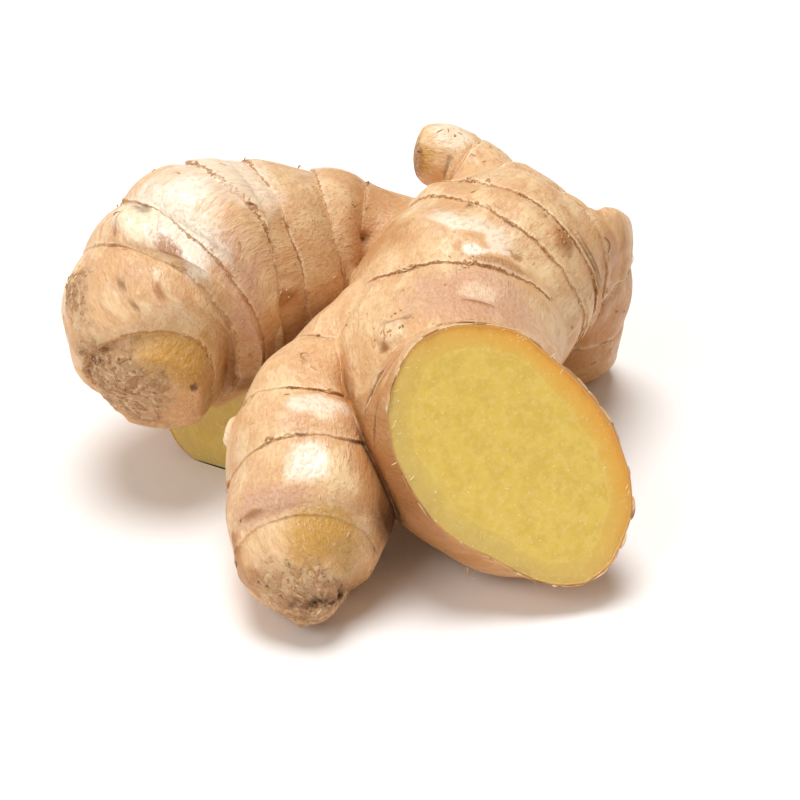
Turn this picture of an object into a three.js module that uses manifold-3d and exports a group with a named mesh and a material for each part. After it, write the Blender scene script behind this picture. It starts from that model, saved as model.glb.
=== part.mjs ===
// A fresh ginger rhizome, one solid piece as it grew, lying on a table.
// Seven lobes join in the middle: a fat finger reaching left, a club-shaped one in front,
// a broad central body whose front end is cut across, a small finger behind, a stout lobe
// behind on the right and a short cut stub underneath. Each lobe is a tube of changing oval
// section along a curve, ringed by leaf scars, and swells towards the lobes that it grew from.
// Millimetres, +Z up, +Y away from the viewer, origin under the middle of the piece.
import * as THREE from "three";
import { ParametricGeometry } from "three/addons/geometries/ParametricGeometry.js";
import { mergeVertices } from "three/addons/utils/BufferGeometryUtils.js";
import Module from "manifold-3d";

const wasm = await Module();
wasm.setup();

// Leaf-scar rings: a raised lip on the root side of each ring and a groove on its tip side.
const LIP = 0.5;
const GROOVE = 0.45;
const RING_EDGE = 0.9;
// The skin between two rings bulges by this much.
const BULGE = 1;
// Uneven growth: height and wavelength of the broad lumps.
const LUMP = 0.7;
const LUMP_WAVE = 21;
// Lobes that grew from each other swell where they are nearer than this, which rounds the
// valleys between them. The others only press on each other, with a sharp crease.
const BLEND = 3;
const GROWN_TOGETHER = [
  ["central_body", "left_finger"],
  ["central_body", "front_finger"],
  ["central_body", "cut_finger"],
  ["central_body", "back_finger"],
  ["central_body", "right_lobe"],
  ["left_finger", "under_stub"],
];
// Longest step between two rows along a lobe, and samples along its middle line.
const ROW_STEP = 5.5;
const SAMPLES = 160;
// The finished piece is moved by this, so that its origin lies under the middle of its box.
const ORIGIN = [-1.6, 0.8, 0];

// Each station is x, y, z of the lobe's middle line, then its half width and half height there.
// Each ring is its distance from the first station, then how much further along its side and
// its upper edge lie, because rings seldom stand square to the lobe. Roll turns the oval section
// about the middle line, in degrees. Cap is the length over which each end closes.
const LOBES = {
  left_finger: {
    stations: [
      [19, 26, 36, 11, 11],
      [4.9, 28.7, 38, 11.8, 11.8],
      [-4.2, 27.7, 38.6, 15.7, 15],
      [-15, 23.3, 37.8, 19, 19],
      [-22.9, 20.4, 38, 21, 19.5],
      [-27.6, 17.4, 38.3, 21.8, 22.4],
      [-31.9, 12.9, 36.1, 21.2, 21.2],
      [-36.6, 5.9, 32.9, 20.6, 20.7],
      [-38.4, -1.6, 30.8, 16.3, 17.4],
      [-37.8, -6.6, 28.2, 12.4, 12.8],
      [-38.2, -13.2, 25.4, 9.6, 10],
    ],
    rings: [
      [17, 0, 0],
      [24, -2, 1.5],
      [37.5, 2, 1],
      [45, 0, 3.5],
      [56.5, -3, -1],
      [67.5, -5, 0],
      [79, -1, -1.5],
    ],
    around: 38,
    cap: [8, 2.5],
  },
  front_finger: {
    stations: [
      [22, 3, 36, 9, 9],
      [12.7, 1.1, 36, 8, 8],
      [5.7, 0.1, 35, 7.5, 7.5],
      [-1, -2.3, 32.5, 7.5, 7.5],
      [-4.6, -8.8, 29.5, 8.4, 8.4],
      [-7.4, -15.1, 26.5, 10.5, 10.5],
      [-7.9, -21.3, 23.5, 13.3, 13.3],
      [-6.9, -28.6, 20, 15.3, 15.3],
      [-6.4, -35.1, 17, 15.4, 15.4],
      [-6.7, -42.6, 12.9, 13.9, 13.6],
      [-6.8, -48.7, 10.4, 12, 11.2],
      [-5.4, -52.8, 8.2, 7.6, 7.8],
      [-2.8, -56.4, 5, 2.6, 3.6],
    ],
    rings: [
      [29, 0.5, 0.5],
      [44.5, -1, -0.5],
      [58, 0, 0],
      [75.5, 1, -2],
    ],
    around: 32,
    cap: [6, 2],
  },
  central_body: {
    stations: [
      [45, 36, 41, 8, 7],
      [42.2, 31.2, 38.6, 16.4, 14.6],
      [36.6, 26.4, 37, 20.4, 17.6],
      [30.8, 19.9, 35.6, 21.3, 20],
      [26.2, 13.6, 33, 21.8, 21.5],
      [18.8, 6.6, 30, 20.2, 20.2],
      [11.7, -3.2, 30, 14.9, 14.9],
    ],
    rings: [
      [6, -2, -1.5],
      [17.5, 1, 1.5],
      [25.5, 0, -1],
    ],
    around: 38,
    cap: [5, 10],
  },
  cut_finger: {
    stations: [
      [19.4, 26, 35, 14.9, 14.9],
      [21.3, 13.5, 33.5, 19.9, 19.5],
      [21, -1.2, 30, 20.3, 20.7],
      [21, -13, 27, 20.5, 23.6],
      [23.2, -22.5, 24.8, 20.6, 26.2],
      [27.8, -31.5, 26, 20.2, 28.4],
      [33.1, -40, 30.4, 17.6, 28.4],
      [35.2, -54.2, 36.4, 15, 22],
    ],
    rings: [
      [24.5, -0.5, 0],
      [52, 1, 0],
    ],
    roll: -29,
    around: 42,
    cap: [10, 6],
  },
  back_finger: {
    stations: [
      [36, 31, 37, 13, 12.5],
      [33.6, 38.2, 39.4, 11, 10],
      [28.4, 45.2, 43.4, 7.4, 6.8],
      [23.4, 49, 46.2, 7, 7],
      [18.8, 50, 47.4, 7, 7],
      [13.6, 50.6, 47.8, 5.1, 5.4],
    ],
    rings: [
      [14, 1, 0.5],
      [22, 0, 1],
    ],
    around: 24,
    cap: [6, 2.5],
  },
  right_lobe: {
    stations: [
      [48.2, 32.3, 43, 8.3, 8.3],
      [48.6, 30, 38, 9.4, 9.4],
      [48.3, 32.9, 22, 10.6, 10.6],
      [47.8, 37.8, 8, 10.4, 10.4],
      [47.7, 36.6, -1, 7.9, 7.9],
    ],
    rings: [
      [11, 1, 0],
      [24, -1, 1],
    ],
    up: [0, -1, 0],
    around: 26,
    cap: [3, 6],
  },
  under_stub: {
    stations: [
      [6, 26, 28, 12, 12],
      [-6, 19, 19, 12, 12],
      [-16, 11, 13, 12.8, 12.8],
      [-26, 3.2, 11.4, 13, 13],
      [-34, -4.6, 11, 11.6, 11.6],
    ],
    rings: [
      [22, 0, 1],
      [38, 1, 0],
    ],
    around: 26,
    cap: [6, 4],
  },
};

// Buds and broken rootlets that stand on the skin: the lobe, the distance along it, the angle
// round it in degrees (0 its side, 90 its upper side), then half lengths along, around and out.
const KNOBS = [
  ["left_finger", 36.5, 210, 3.4, 2, 1.6],
  ["left_finger", 41.3, 172, 2, 2.2, 1.4],
  ["left_finger", 60.8, 72, 3, 3.4, 1.6],
  ["left_finger", 74, 38, 2.6, 4, 1.2],
  ["left_finger", 31, 330, 3, 2.2, 1.8],
  ["front_finger", 47.9, 6, 2, 2, 1.2],
  ["cut_finger", 42.5, 87, 2.6, 3, 1.4],
  ["central_body", 20.5, 138, 1.6, 2.4, 1],
  ["right_lobe", 16, 300, 3, 2.4, 1.8],
];
const KNOB_SIDES = 8;

// Where a knife went through: a point of the cut and the way its face looks.
const CUTS = {
  cut_finger: { at: [31.7, -40, 30], facing: [0.22, -0.9, 0.4] },
  under_stub: { at: [-25.5, 3.4, 11.4], facing: [-0.45, -0.87, 0.15] },
};
const FLOOR = { at: [0, 0, 0], facing: [0, 0, -1] };

// Broad uneven growth at a place: three crossed sine waves, from -1 to 1.
function lumps(p) {
  const k = (2 * Math.PI) / LUMP_WAVE;
  return (
    (Math.sin(p.x * k + 1.3) * Math.sin(p.y * k * 0.8 + 0.4) +
      Math.sin(p.y * k + 2.1) * Math.sin(p.z * k * 0.9 + 1.9) +
      Math.sin(p.z * k + 0.6) * Math.sin(p.x * k * 0.7 + 2.7)) /
    3
  );
}

// The middle line and radii of a lobe, sampled evenly in its stations, with the length so far.
function spine({ stations, up = [0, 0, 1] }) {
  const curve = (pick) =>
    new THREE.CatmullRomCurve3(
      stations.map((s) => new THREE.Vector3(...pick(s))),
      false,
      "catmullrom",
      0.5,
    );
  const line = curve((s) => s.slice(0, 3));
  const radii = curve((s) => [s[3], s[4], 0]);
  const lift = new THREE.Vector3(...up);
  const rows = [];
  let length = 0;
  for (let i = 0; i <= SAMPLES; i++) {
    const t = i / SAMPLES;
    const centre = line.getPoint(t);
    if (i) length += centre.distanceTo(rows[i - 1].centre);
    const along = line.getTangent(t);
    const side = along.clone().cross(lift).normalize();
    const { x: wide, y: tall } = radii.getPoint(t);
    rows.push({ centre, along, side, upper: side.clone().cross(along), wide, tall, length });
  }
  return rows;
}

// The spine at a distance along it, between two samples.
function spineAt(rows, distance) {
  const last = rows.length - 1;
  let i = 0;
  while (i < last - 1 && rows[i + 1].length < distance) i++;
  const [a, b] = [rows[i], rows[i + 1]];
  const f = Math.min(1, Math.max(0, (distance - a.length) / (b.length - a.length)));
  return {
    centre: a.centre.clone().lerp(b.centre, f),
    side: a.side.clone().lerp(b.side, f).normalize(),
    upper: a.upper.clone().lerp(b.upper, f).normalize(),
    wide: a.wide + (b.wide - a.wide) * f,
    tall: a.tall + (b.tall - a.tall) * f,
  };
}

// How much further along a lobe a place lies than the row it belongs to: the lean of the rings
// on both sides of it, shared out between them.
function leanAt(rings, distance, total, angle) {
  const marks = [[0, 0, 0], ...rings, [total, 0, 0]];
  const next = Math.max(1, marks.findIndex((mark) => mark[0] >= distance));
  const [before, after] = [marks[next - 1], marks[next]];
  const share = (distance - before[0]) / (after[0] - before[0]);
  const sideways = before[1] + (after[1] - before[1]) * share;
  const upward = before[2] + (after[2] - before[2]) * share;
  return sideways * Math.cos(angle) + upward * Math.sin(angle);
}

// How far the skin stands out at a distance along a lobe: swollen between rings, a lip before
// each ring and a groove just past it.
function ringRelief(rings, distance) {
  let relief = 0;
  for (const [ring] of rings) {
    const past = distance - ring;
    if (past <= 0) relief += LIP * Math.exp(past / RING_EDGE);
    else relief -= GROOVE * Math.exp(-past / RING_EDGE);
  }
  const next = rings.findIndex(([ring]) => ring > distance);
  if (next > 0) {
    const [from, to] = [rings[next - 1][0], rings[next][0]];
    relief += BULGE * Math.sin((Math.PI * (distance - from)) / (to - from));
  }
  return relief;
}

// Rows along a lobe: close together over its end caps and on both sides of each ring.
function rowDistances(total, rings, [rootCap, tipCap]) {
  const marks = [0, 0.03, 0.15, 0.4].map((f) => f * rootCap).concat(rootCap);
  for (const [ring] of rings) marks.push(ring - RING_EDGE, ring, ring + 0.25 * RING_EDGE, ring + 2 * RING_EDGE);
  marks.push(...[1, 0.6, 0.3, 0.1, 0.02, 0].map((f) => total - f * tipCap));
  const rows = [];
  for (const mark of marks.sort((a, b) => a - b)) {
    const before = rows.at(-1) ?? mark;
    const steps = Math.ceil((mark - before) / ROW_STEP);
    for (let i = 1; i < steps; i++) rows.push(before + ((mark - before) * i) / steps);
    if (mark - before > 0.01 || !rows.length) rows.push(mark);
  }
  return rows;
}

// How far a place is from the skin of a lobe, taking its section as round.
function gapTo(rows, p) {
  let gap = Infinity;
  for (let i = 0; i < rows.length; i += 4) {
    const { centre, wide, tall } = rows[i];
    gap = Math.min(gap, p.distanceTo(centre) - (wide + tall) / 2);
  }
  return gap;
}

const spines = Object.fromEntries(Object.entries(LOBES).map(([name, lobe]) => [name, spine(lobe)]));

// The place on a lobe's skin at a distance along it and an angle round it, and the way out there.
function skinAt(name, distance, angle) {
  const { rings, cap, roll = 0 } = LOBES[name];
  const rows = spines[name];
  const total = rows.at(-1).length;
  const turn = THREE.MathUtils.degToRad(roll);
  const { centre, side, upper, wide, tall } = spineAt(rows, distance + leanAt(rings, distance, total, angle));
  const closeRoot = Math.min(1, distance / cap[0]);
  const closeTip = Math.min(1, (total - distance) / cap[1]);
  const closing = Math.sqrt(closeRoot * (2 - closeRoot)) * Math.sqrt(closeTip * (2 - closeTip));
  const across = wide * Math.cos(angle) * closing;
  const above = tall * Math.sin(angle) * closing;
  const outward = new THREE.Vector3()
    .addScaledVector(side, Math.cos(angle + turn))
    .addScaledVector(upper, Math.sin(angle + turn));
  const place = centre
    .clone()
    .addScaledVector(side, across * Math.cos(turn) - above * Math.sin(turn))
    .addScaledVector(upper, across * Math.sin(turn) + above * Math.cos(turn));
  let swelling = 0;
  for (const pair of GROWN_TOGETHER.filter((names) => names.includes(name))) {
    const [other] = pair.filter((lobe) => lobe !== name);
    const near = Math.min(1, Math.max(0, 1 - gapTo(spines[other], place) / BLEND));
    swelling += (near * near * BLEND) / 2;
  }
  const out = ringRelief(rings, distance) + LUMP * lumps(place) + Math.min(swelling, BLEND / 2);
  return { place: place.addScaledVector(outward, out * closing), outward };
}

// A lobe as a closed surface: u goes round it and v along it, from root to tip.
function lobeGeometry(name) {
  const { rings, around, cap } = LOBES[name];
  const distances = rowDistances(spines[name].at(-1).length, rings, cap);
  const surface = (u, v, target) => {
    const distance = distances[Math.round(v * (distances.length - 1))];
    target.copy(skinAt(name, distance, -2 * Math.PI * (u % 1)).place);
  };
  return new ParametricGeometry(surface, around, distances.length - 1);
}

// A knob as a small ball, stretched and half sunk in the skin of its lobe.
function knobGeometry([name, distance, degrees, along, around, out]) {
  const { place, outward } = skinAt(name, distance, THREE.MathUtils.degToRad(degrees));
  const ahead = skinAt(name, distance + along, THREE.MathUtils.degToRad(degrees)).place.sub(place);
  const across = outward.clone().cross(ahead).normalize();
  const lengthways = across.clone().cross(outward);
  const ball = new THREE.SphereGeometry(1, KNOB_SIDES, KNOB_SIDES / 2);
  ball.scale(along, around, out);
  ball.applyMatrix4(new THREE.Matrix4().makeBasis(lengthways, across, outward).setPosition(place));
  return ball;
}

// A closed three.js geometry as a solid that can be joined and cut.
function solidOf(geometry) {
  const bare = new THREE.BufferGeometry();
  bare.setAttribute("position", geometry.getAttribute("position"));
  bare.setIndex(geometry.getIndex());
  const merged = mergeVertices(bare, 1e-3);
  const corners = merged.getIndex().array;
  const triVerts = [];
  for (let i = 0; i < corners.length; i += 3) {
    const [a, b, c] = corners.slice(i, i + 3);
    if (a !== b && b !== c && c !== a) triVerts.push(a, b, c);
  }
  const mesh = new wasm.Mesh({
    numProp: 3,
    vertProperties: merged.getAttribute("position").array,
    triVerts: new Uint32Array(triVerts),
  });
  return new wasm.Manifold(mesh);
}

// A block whose one face lies on a plane and which fills the side that the plane faces.
function blockBeyond({ at, facing }) {
  const size = 300;
  const normal = new THREE.Vector3(...facing).normalize();
  const block = new THREE.BoxGeometry(size, size, size);
  block.applyQuaternion(new THREE.Quaternion().setFromUnitVectors(new THREE.Vector3(0, 0, 1), normal));
  const middle = new THREE.Vector3(...at).addScaledVector(normal, size / 2);
  block.translate(middle.x, middle.y, middle.z);
  return solidOf(block);
}

const lobes = Object.keys(LOBES).map((name) => {
  const lobe = solidOf(lobeGeometry(name));
  return CUTS[name] ? lobe.subtract(blockBeyond(CUTS[name])) : lobe;
});
const knobs = KNOBS.map((knob) => solidOf(knobGeometry(knob)));
const whole = [...lobes, ...knobs].reduce((sum, solid) => sum.add(solid));
const pieces = whole.subtract(blockBeyond(FLOOR)).decompose();
const [rhizomeSolid] = pieces.sort((a, b) => b.volume() - a.volume());
const { vertProperties, triVerts } = rhizomeSolid.getMesh();
const geometry = new THREE.BufferGeometry();
geometry.setAttribute("position", new THREE.BufferAttribute(new Float32Array(vertProperties), 3));
geometry.setIndex(new THREE.BufferAttribute(new Uint32Array(triVerts), 1));
geometry.translate(...ORIGIN);
geometry.computeVertexNormals();

const skin = new THREE.MeshStandardMaterial({ color: 0xd8b184, roughness: 0.55, metalness: 0 });
const rhizome = new THREE.Mesh(geometry, skin);
rhizome.name = "ginger_rhizome";

const ginger = new THREE.Group();
ginger.add(rhizome);

export default ginger;
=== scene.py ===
"""The looks of a fresh ginger rhizome that lies on a pale table.

The rhizome is one closed surface. Its seven lobes are grids of points, distance along the
lobe by angle round it, with leaf-scar rings, broken ends and cut faces worked out by formula.
They are joined into one skin and smoothed where they meet. Small closed strands add what
stands off the skin: torn skin at the rings, rootlets and the cut ends of fibres.
Classes hold millimetres. A mesh gets metres when it is made.
"""
import itertools
import logging
import math
from dataclasses import dataclass, field
from enum import Enum
from typing import Any

import bpy
import numpy as np
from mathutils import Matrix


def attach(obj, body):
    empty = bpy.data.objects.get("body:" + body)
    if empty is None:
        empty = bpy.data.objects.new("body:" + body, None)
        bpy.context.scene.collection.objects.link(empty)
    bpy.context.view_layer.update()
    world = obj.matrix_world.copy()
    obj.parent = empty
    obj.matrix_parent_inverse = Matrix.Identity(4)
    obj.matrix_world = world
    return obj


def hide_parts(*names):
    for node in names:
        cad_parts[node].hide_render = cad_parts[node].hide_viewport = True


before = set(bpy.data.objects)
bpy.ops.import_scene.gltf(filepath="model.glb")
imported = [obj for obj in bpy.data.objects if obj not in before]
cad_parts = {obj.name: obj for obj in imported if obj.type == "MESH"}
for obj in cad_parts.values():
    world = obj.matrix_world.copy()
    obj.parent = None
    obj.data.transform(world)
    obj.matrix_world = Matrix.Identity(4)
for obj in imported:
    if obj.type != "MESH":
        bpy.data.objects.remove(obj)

log = logging.getLogger("ginger")

Array = np.ndarray
Pair = tuple[float, float]
Socket = bpy.types.NodeSocket
Tree = bpy.types.NodeTree

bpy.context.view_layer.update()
BODY = "root"
NODE = "ginger_rhizome"
MM = 0.001

# Random heights in a list, and the primes that scatter the corners of a lattice over it.
LATTICE_HEIGHTS = 4096
LATTICE_PRIMES = (73856093, 19349663, 83492791)

# The lobes' own millimetres start this far from the place under the middle of the piece.
ORIGIN = np.array([-1.6, 0.8, 0.0])

# Leaf-scar rings: a lip of old skin on the root side and a groove on the tip side.
LIP = 0.45
GROOVE = 0.4
RING_EDGE = 1.0
RING_REACH = 2.5
STEP_HALF = 0.2
# The torn edge of the old skin stands up by this much more, over this length.
FRAY = 0.25
FRAY_EDGE = 0.35
FRAY_WAVE = 1.6
# The skin between two rings bulges by this much.
BULGE = 1.0
# Uneven growth: height and wavelength of the broad lumps.
LUMP = 0.7
LUMP_WAVE = 21.0
# Lobes that grew from each other swell where they are nearer than this.
BLEND = 3.0
# The rings are rubbed away in spots of this width, down to this share of their height, where
# the unevenness is below the first limit, and not at all where it is above the second.
RUBBED_WIDTH = 8.0
LEAST_RING = 0.35
RUBBED_LIMITS = (-0.55, 0.35)
# A ring strays this far from its plane, in waves of this length, once broad and once fine.
# Near the two ends of the lobe that fades over the other length.
WANDER = ((0.6, 8.0), (0.15, 2.4))
WANDER_FADE = 8.0
# The edge of a mark wavers by these shares of its reach, in waves of this length, and fades
# from the first of two other shares to the second.
MARK_WAVER = ((0.28, 2.6), (0.14, 1.0))
MARK_FADE = (1.35, 0.65)
# Width of the coarsest lumps of broken relief.
CRAG_WIDTH = 2.6
# Soft relief of the skin: height, width of the waves and how much longer they are lengthways.
WRINKLES = ((0.16, 5.0, 1.0), (0.13, 2.8, 5.0), (0.05, 1.4, 2.0))

# Spacing of the grid, and of its rows where the end is broken.
GRID = 0.76
CRAG_GRID = 0.45
# Rows in the closing ends, as shares of their lengths.
ROOT_ROWS = (0.0, 0.01, 0.04, 0.1, 0.2, 0.35, 0.6, 1.0)
TIP_ROWS = (1.0, 0.7, 0.45, 0.25, 0.12, 0.05, 0.015, 0.0)
# Rows beside each ring, measured from it.
RING_ROWS = (-1.8, -1.0, -0.5, -0.25, -0.09, 0.0, 0.09, 0.3, 0.65, 1.2, 2.0)
# Samples of a middle line, and every which of them is used where only gaps are measured.
SPINE_SAMPLES = 600
GAP_STRIDE = 15
# The cut is looked for from this share of the lobe on, with this many samples. The rows of the
# last millimetres before it are spread out evenly, over this length.
CUT_FROM = 0.4
CUT_SAMPLES = 260
CUT_SPREAD = 6.0
# Rows of a cut face: their distances from its rim, then where even steps to the middle begin,
# the step, what is left in the middle, and the height of the face at some distances.
FACE_ROWS = (0.15, 0.3, 0.42, 0.6, 0.9, 1.4)
FACE_INSIDE = 2.1
FACE_STEP = 0.75
FACE_CORE = 0.4
FACE_HEIGHTS = ((0, 0.15, 0.3, 0.42, 0.9, 2.0), (0, 0.16, 0.16, -0.1, -0.1, -0.02))
# Rows nearer to the rim than this keep its shape. The flesh has this grain, heights and widths
# of waves, which sets in between two distances from the rim.
FACE_KEPT = 4.0
FACE_GRAIN = ((0.05, 2.2), (0.03, 0.9))
GRAIN_LIMITS = (0.5, 1.5)
# Corners of a thin strip's section, and points along a short strip, a long one and a rootlet.
STRIP_SIDES = 6
STROKE_POINTS = 6
FLAKE_POINTS = 8
ROOTLET_POINTS = 7

# Where a lobe grew from another, the valley is rounded over the first width. Where two only
# press on each other, the crease is rounded over the second.
VALLEY_WIDTH = 3.0
CREASE_WIDTH = 0.9
SEAM_PASSES = 16
SEAM_STEP = 0.6
# Painted shade gathers, and rings fade, where the skin of a lobe that only touches is nearer than this.
SHADE_REACH = 6.0
FADE_REACH = 5.0
# Distances along the surface are followed over this many edges, and are this great beyond.
EDGES_FOLLOWED = 12
FAR = 99.0
# The painted shade of a crease fades over the first width, and of a deep one between the other two.
CREASE_SHADE_WIDTH = 1.8
CHINK_LIMITS = (2.2, 0.3)
# Points that the join made take their values from their neighbours in this many rounds.
FILL_ROUNDS = 6
# The big cut face is cool where it is far against this way, and warm where it is far along it.
WARM_WAY = (0.75, 0.0, 0.66)
WARM_LIMITS = (-14.0, 16.0)
# The skin gets painted shade on its underside from the first rise of its normal to the second.
# For painted shade in a cleft, and in a tight one, limits of the painted shade near other
# lobes and of that rise count together.
UNDERSIDE_SHADE_LIMITS = (0.35, -0.65)
CLEFT_LIMITS = ((0.3, 0.85), (0.6, 0.05))
TIGHT_LIMITS = ((0.88, 1.0), (0.5, 0.0))
# Above this height lobes that only touch have grown together at the surface. Creases get painted
# dark shade, and the painted shade near other lobes shows, from the first height of a pair down
# to the second.
GROWN_ABOVE = 36.0
DARK_BELOW = (36.0, 28.0)
SHADE_BELOW = (40.0, 34.0)
# Strips stay this far from other lobes, from the table and from the cut.
CLEAR_OF_LOBES = 1.6
CLEAR_OF_TABLE = 0.8
CLEAR_OF_CUT = 0.6


class Blemish(Enum):
    """What a mark changes in the look of the skin; the value names the mesh's attribute."""

    SCAR = "scar"
    GOLDEN = "golden"
    BLUSH = "blush"
    BRUISE = "bruise"
    PALE = "pale"
    EARTH = "earth"
    # Less rough skin with a painted near-white highlight.
    GLOSS_AND_PAINTED_HIGHLIGHT = "gloss_and_painted_highlight"
    # A patch of painted brown shade.
    PAINTED_SHADE_PATCH = "painted_shade_patch"


@dataclass(frozen=True)
class Mark:
    """A patch, bud, pit or broken end on a lobe's skin, or a patch of painted shade or painted highlight.

    Attributes:
        look: what the patch does to the colour.
        at: distance along the lobe in mm and angle round it in degrees.
        reach: half length along the lobe and half width round it, in mm.
        height: how far the middle stands out of the skin, in mm.
        crag: height of the broken relief in the patch, in mm.
        depth: strength of the colour, up to 1.
    """

    look: Blemish
    at: Pair
    reach: Pair
    height: float = 0.0
    crag: float = 0.0
    depth: float = 1.0


@dataclass(frozen=True)
class Cut:
    """Where a knife went through: a place in mm and the way the cut face looks."""

    at: tuple[float, float, float]
    facing: tuple[float, float, float]

    def height(self, place: Array) -> Array:
        """How far places lie beyond the cut, in mm."""
        return (place - np.array(self.at)) @ self.normal

    @property
    def normal(self) -> Array:
        """The way the face looks, at length 1."""
        return unit(np.array(self.facing))


def unit(vectors: Array) -> Array:
    """Vectors at length 1."""
    return vectors / np.linalg.norm(vectors, axis=-1, keepdims=True)


def smooth_step(low: float, high: float, value: Array) -> Array:
    """0 below low, 1 above high and the cubic 3t^2 - 2t^3 between them."""
    share = np.clip((value - low) / (high - low), 0, 1)
    return share * share * (3 - 2 * share)


def unevenness(place: Array, size: float, seed: int) -> Array:
    """Smooth random heights from -1 to 1.

    Each corner of a lattice of cubes has a random height, drawn from a seeded list, and a
    place takes the smoothly weighted mean of the eight corners of its cube.

    Args:
        place: points, in mm.
        size: edge of a cube, in mm.
        seed: picks the random list.

    Returns:
        One height for each point.
    """
    heights = np.random.default_rng(seed).uniform(-1, 1, LATTICE_HEIGHTS)
    spot = place / size
    cell = np.floor(spot).astype(np.int64)
    share = spot - cell
    share = share * share * (3 - 2 * share)
    total = np.zeros(place.shape[:-1])
    for corner in itertools.product((0, 1), repeat=3):
        weight = np.prod(np.where(np.array(corner) == 1, share, 1 - share), axis=-1)
        x, y, z = np.moveaxis((cell + np.array(corner)) * LATTICE_PRIMES, -1, 0)
        total += weight * heights[(x ^ y ^ z) % heights.size]
    return total


def uneven_layers(place: Array, layers: tuple[Pair, ...], seed: int) -> Array:
    """The sum of layers of unevenness, each of its own height and width of waves."""
    return sum(height * unevenness(place, width, seed + k) for k, (height, width) in enumerate(layers))


def crags(place: Array, size: float, seed: int) -> Array:
    """Broken relief from about -1 to 1: three sizes of unevenness, with sharp valleys."""
    coarse = 1 - 2 * np.abs(unevenness(place, size, seed))
    middle = unevenness(place, size / 2.3, seed + 1)
    fine = unevenness(place, size / 5, seed + 2)
    return 0.5 * coarse + 0.35 * middle + 0.25 * fine


def curve(points: Array, t: Array) -> Array:
    """A Catmull-Rom curve through points spaced evenly in t, from 0 at the first to 1 at the last."""
    full = np.vstack([2 * points[0] - points[1], points, 2 * points[-1] - points[-2]])
    spot = np.clip(t, 0, 1) * (len(points) - 1)
    i = np.minimum(spot.astype(int), len(points) - 2)
    w = (spot - i)[:, None]
    a, b, c, d = (full[i + k] for k in range(4))
    return b + 0.5 * w * (c - a + w * (2 * a - 5 * b + 4 * c - d + w * (3 * (b - c) + d - a)))


def make_mesh(name: str, place: Array, faces: list[Array], fields: dict[str, Array]) -> bpy.types.Mesh:
    """A mesh from points, faces and values.

    Args:
        name: the mesh's name.
        place: points in the part's own millimetres, one row each.
        faces: arrays of corner numbers, one row for each face, all faces of an array alike.
        fields: values for each point, of one or three numbers, by attribute name.

    Returns:
        The mesh, in metres, smooth shaded.
    """
    mesh = bpy.data.meshes.new(name)
    sides = np.concatenate([np.full(len(f), f.shape[1]) for f in faces])
    corners = np.concatenate([f.ravel() for f in faces])
    mesh.vertices.add(len(place))
    mesh.vertices.foreach_set("co", (place * MM).astype(np.float32).ravel())
    mesh.loops.add(len(corners))
    mesh.loops.foreach_set("vertex_index", corners.astype(np.int32))
    mesh.polygons.add(len(sides))
    mesh.polygons.foreach_set("loop_start", (np.cumsum(sides) - sides).astype(np.int32))
    mesh.update(calc_edges=True)
    mesh.shade_smooth()
    for key, values in fields.items():
        set_field(mesh, key, values)
    return mesh


def set_field(mesh: bpy.types.Mesh, key: str, values: Array) -> None:
    """Stores one number or one vector for each point of a mesh, under a name."""
    vector = values.ndim == 2
    kind = "FLOAT_VECTOR" if vector else "FLOAT"
    layer = mesh.attributes.get(key) or mesh.attributes.new(key, kind, "POINT")
    layer.data.foreach_set("vector" if vector else "value", values.astype(np.float32).ravel())


def read(table: Any, key: str, width: int = 1, kind: type = np.int32) -> Array:
    """What each row of one of a mesh's tables says under a key: a number, or width numbers."""
    values = np.zeros(len(table) * width, kind)
    table.foreach_get(key, values)
    return values.reshape(-1, width) if width > 1 else values


def get_field(mesh: bpy.types.Mesh, key: str) -> Array:
    """The numbers or vectors that a mesh keeps for its points under a name."""
    layer = mesh.attributes[key]
    if layer.data_type == "FLOAT_VECTOR":
        return read(layer.data, "vector", 3, np.float32)
    return read(layer.data, "value", 1, np.float32)


def linked(data: bpy.types.ID) -> bpy.types.Object:
    """An object of the scene that shows a mesh, a lamp or a camera, under the same name."""
    thing = bpy.data.objects.new(data.name, data)
    bpy.context.scene.collection.objects.link(thing)
    return thing


def half_sizes(rng: np.random.Generator, count: int, wide: Pair, thick: Pair) -> Array:
    """Half widths and half thicknesses of strips, drawn between two limits each, in mm."""
    return np.stack([rng.uniform(*wide, count), rng.uniform(*thick, count)], -1)


def strand_mesh(name: str, path: Array, upper: Array, half: Array) -> bpy.types.Mesh:
    """Many thin closed strips, each along its own path, as one mesh.

    The section is a flattened hexagon. Round it, at the angle u, the skin lies at the path
    plus across times width times cos u plus over times thickness times sin u, both narrowed
    by the square root of 4t(1 - t) at the share t of the path.

    Args:
        name: the mesh's name.
        path: points of each strip's middle line, strips by points by 3, in mm.
        upper: the way that the upper side of each strip looks, strips by points by 3.
        half: half width and half thickness of each strip, in mm.

    Returns:
        The mesh.
    """
    strips, points, _ = path.shape
    along = unit(np.gradient(path, axis=1))
    across = unit(np.cross(along, upper))
    over = np.cross(across, along)
    share = np.linspace(0, 1, points)
    narrow = np.sqrt(4 * share * (1 - share))[None, 1:-1, None, None]
    turn = np.arange(STRIP_SIDES) * 2 * math.pi / STRIP_SIDES
    wide = half[:, 0, None, None, None] * np.cos(turn)[None, None, :, None]
    thick = half[:, 1, None, None, None] * np.sin(turn)[None, None, :, None]
    skin = path[:, 1:-1, None] + narrow * (across[:, 1:-1, None] * wide + over[:, 1:-1, None] * thick)
    place = np.concatenate([skin.reshape(strips, -1, 3), path[:, :1], path[:, -1:]], axis=1)
    start = np.arange(strips)[:, None, None] * place.shape[1]
    faces = [(start + f).reshape(-1, f.shape[1]) for f in tube_faces(points - 2, STRIP_SIDES)]
    return make_mesh(name, place.reshape(-1, 3) + ORIGIN, faces, {})


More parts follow.
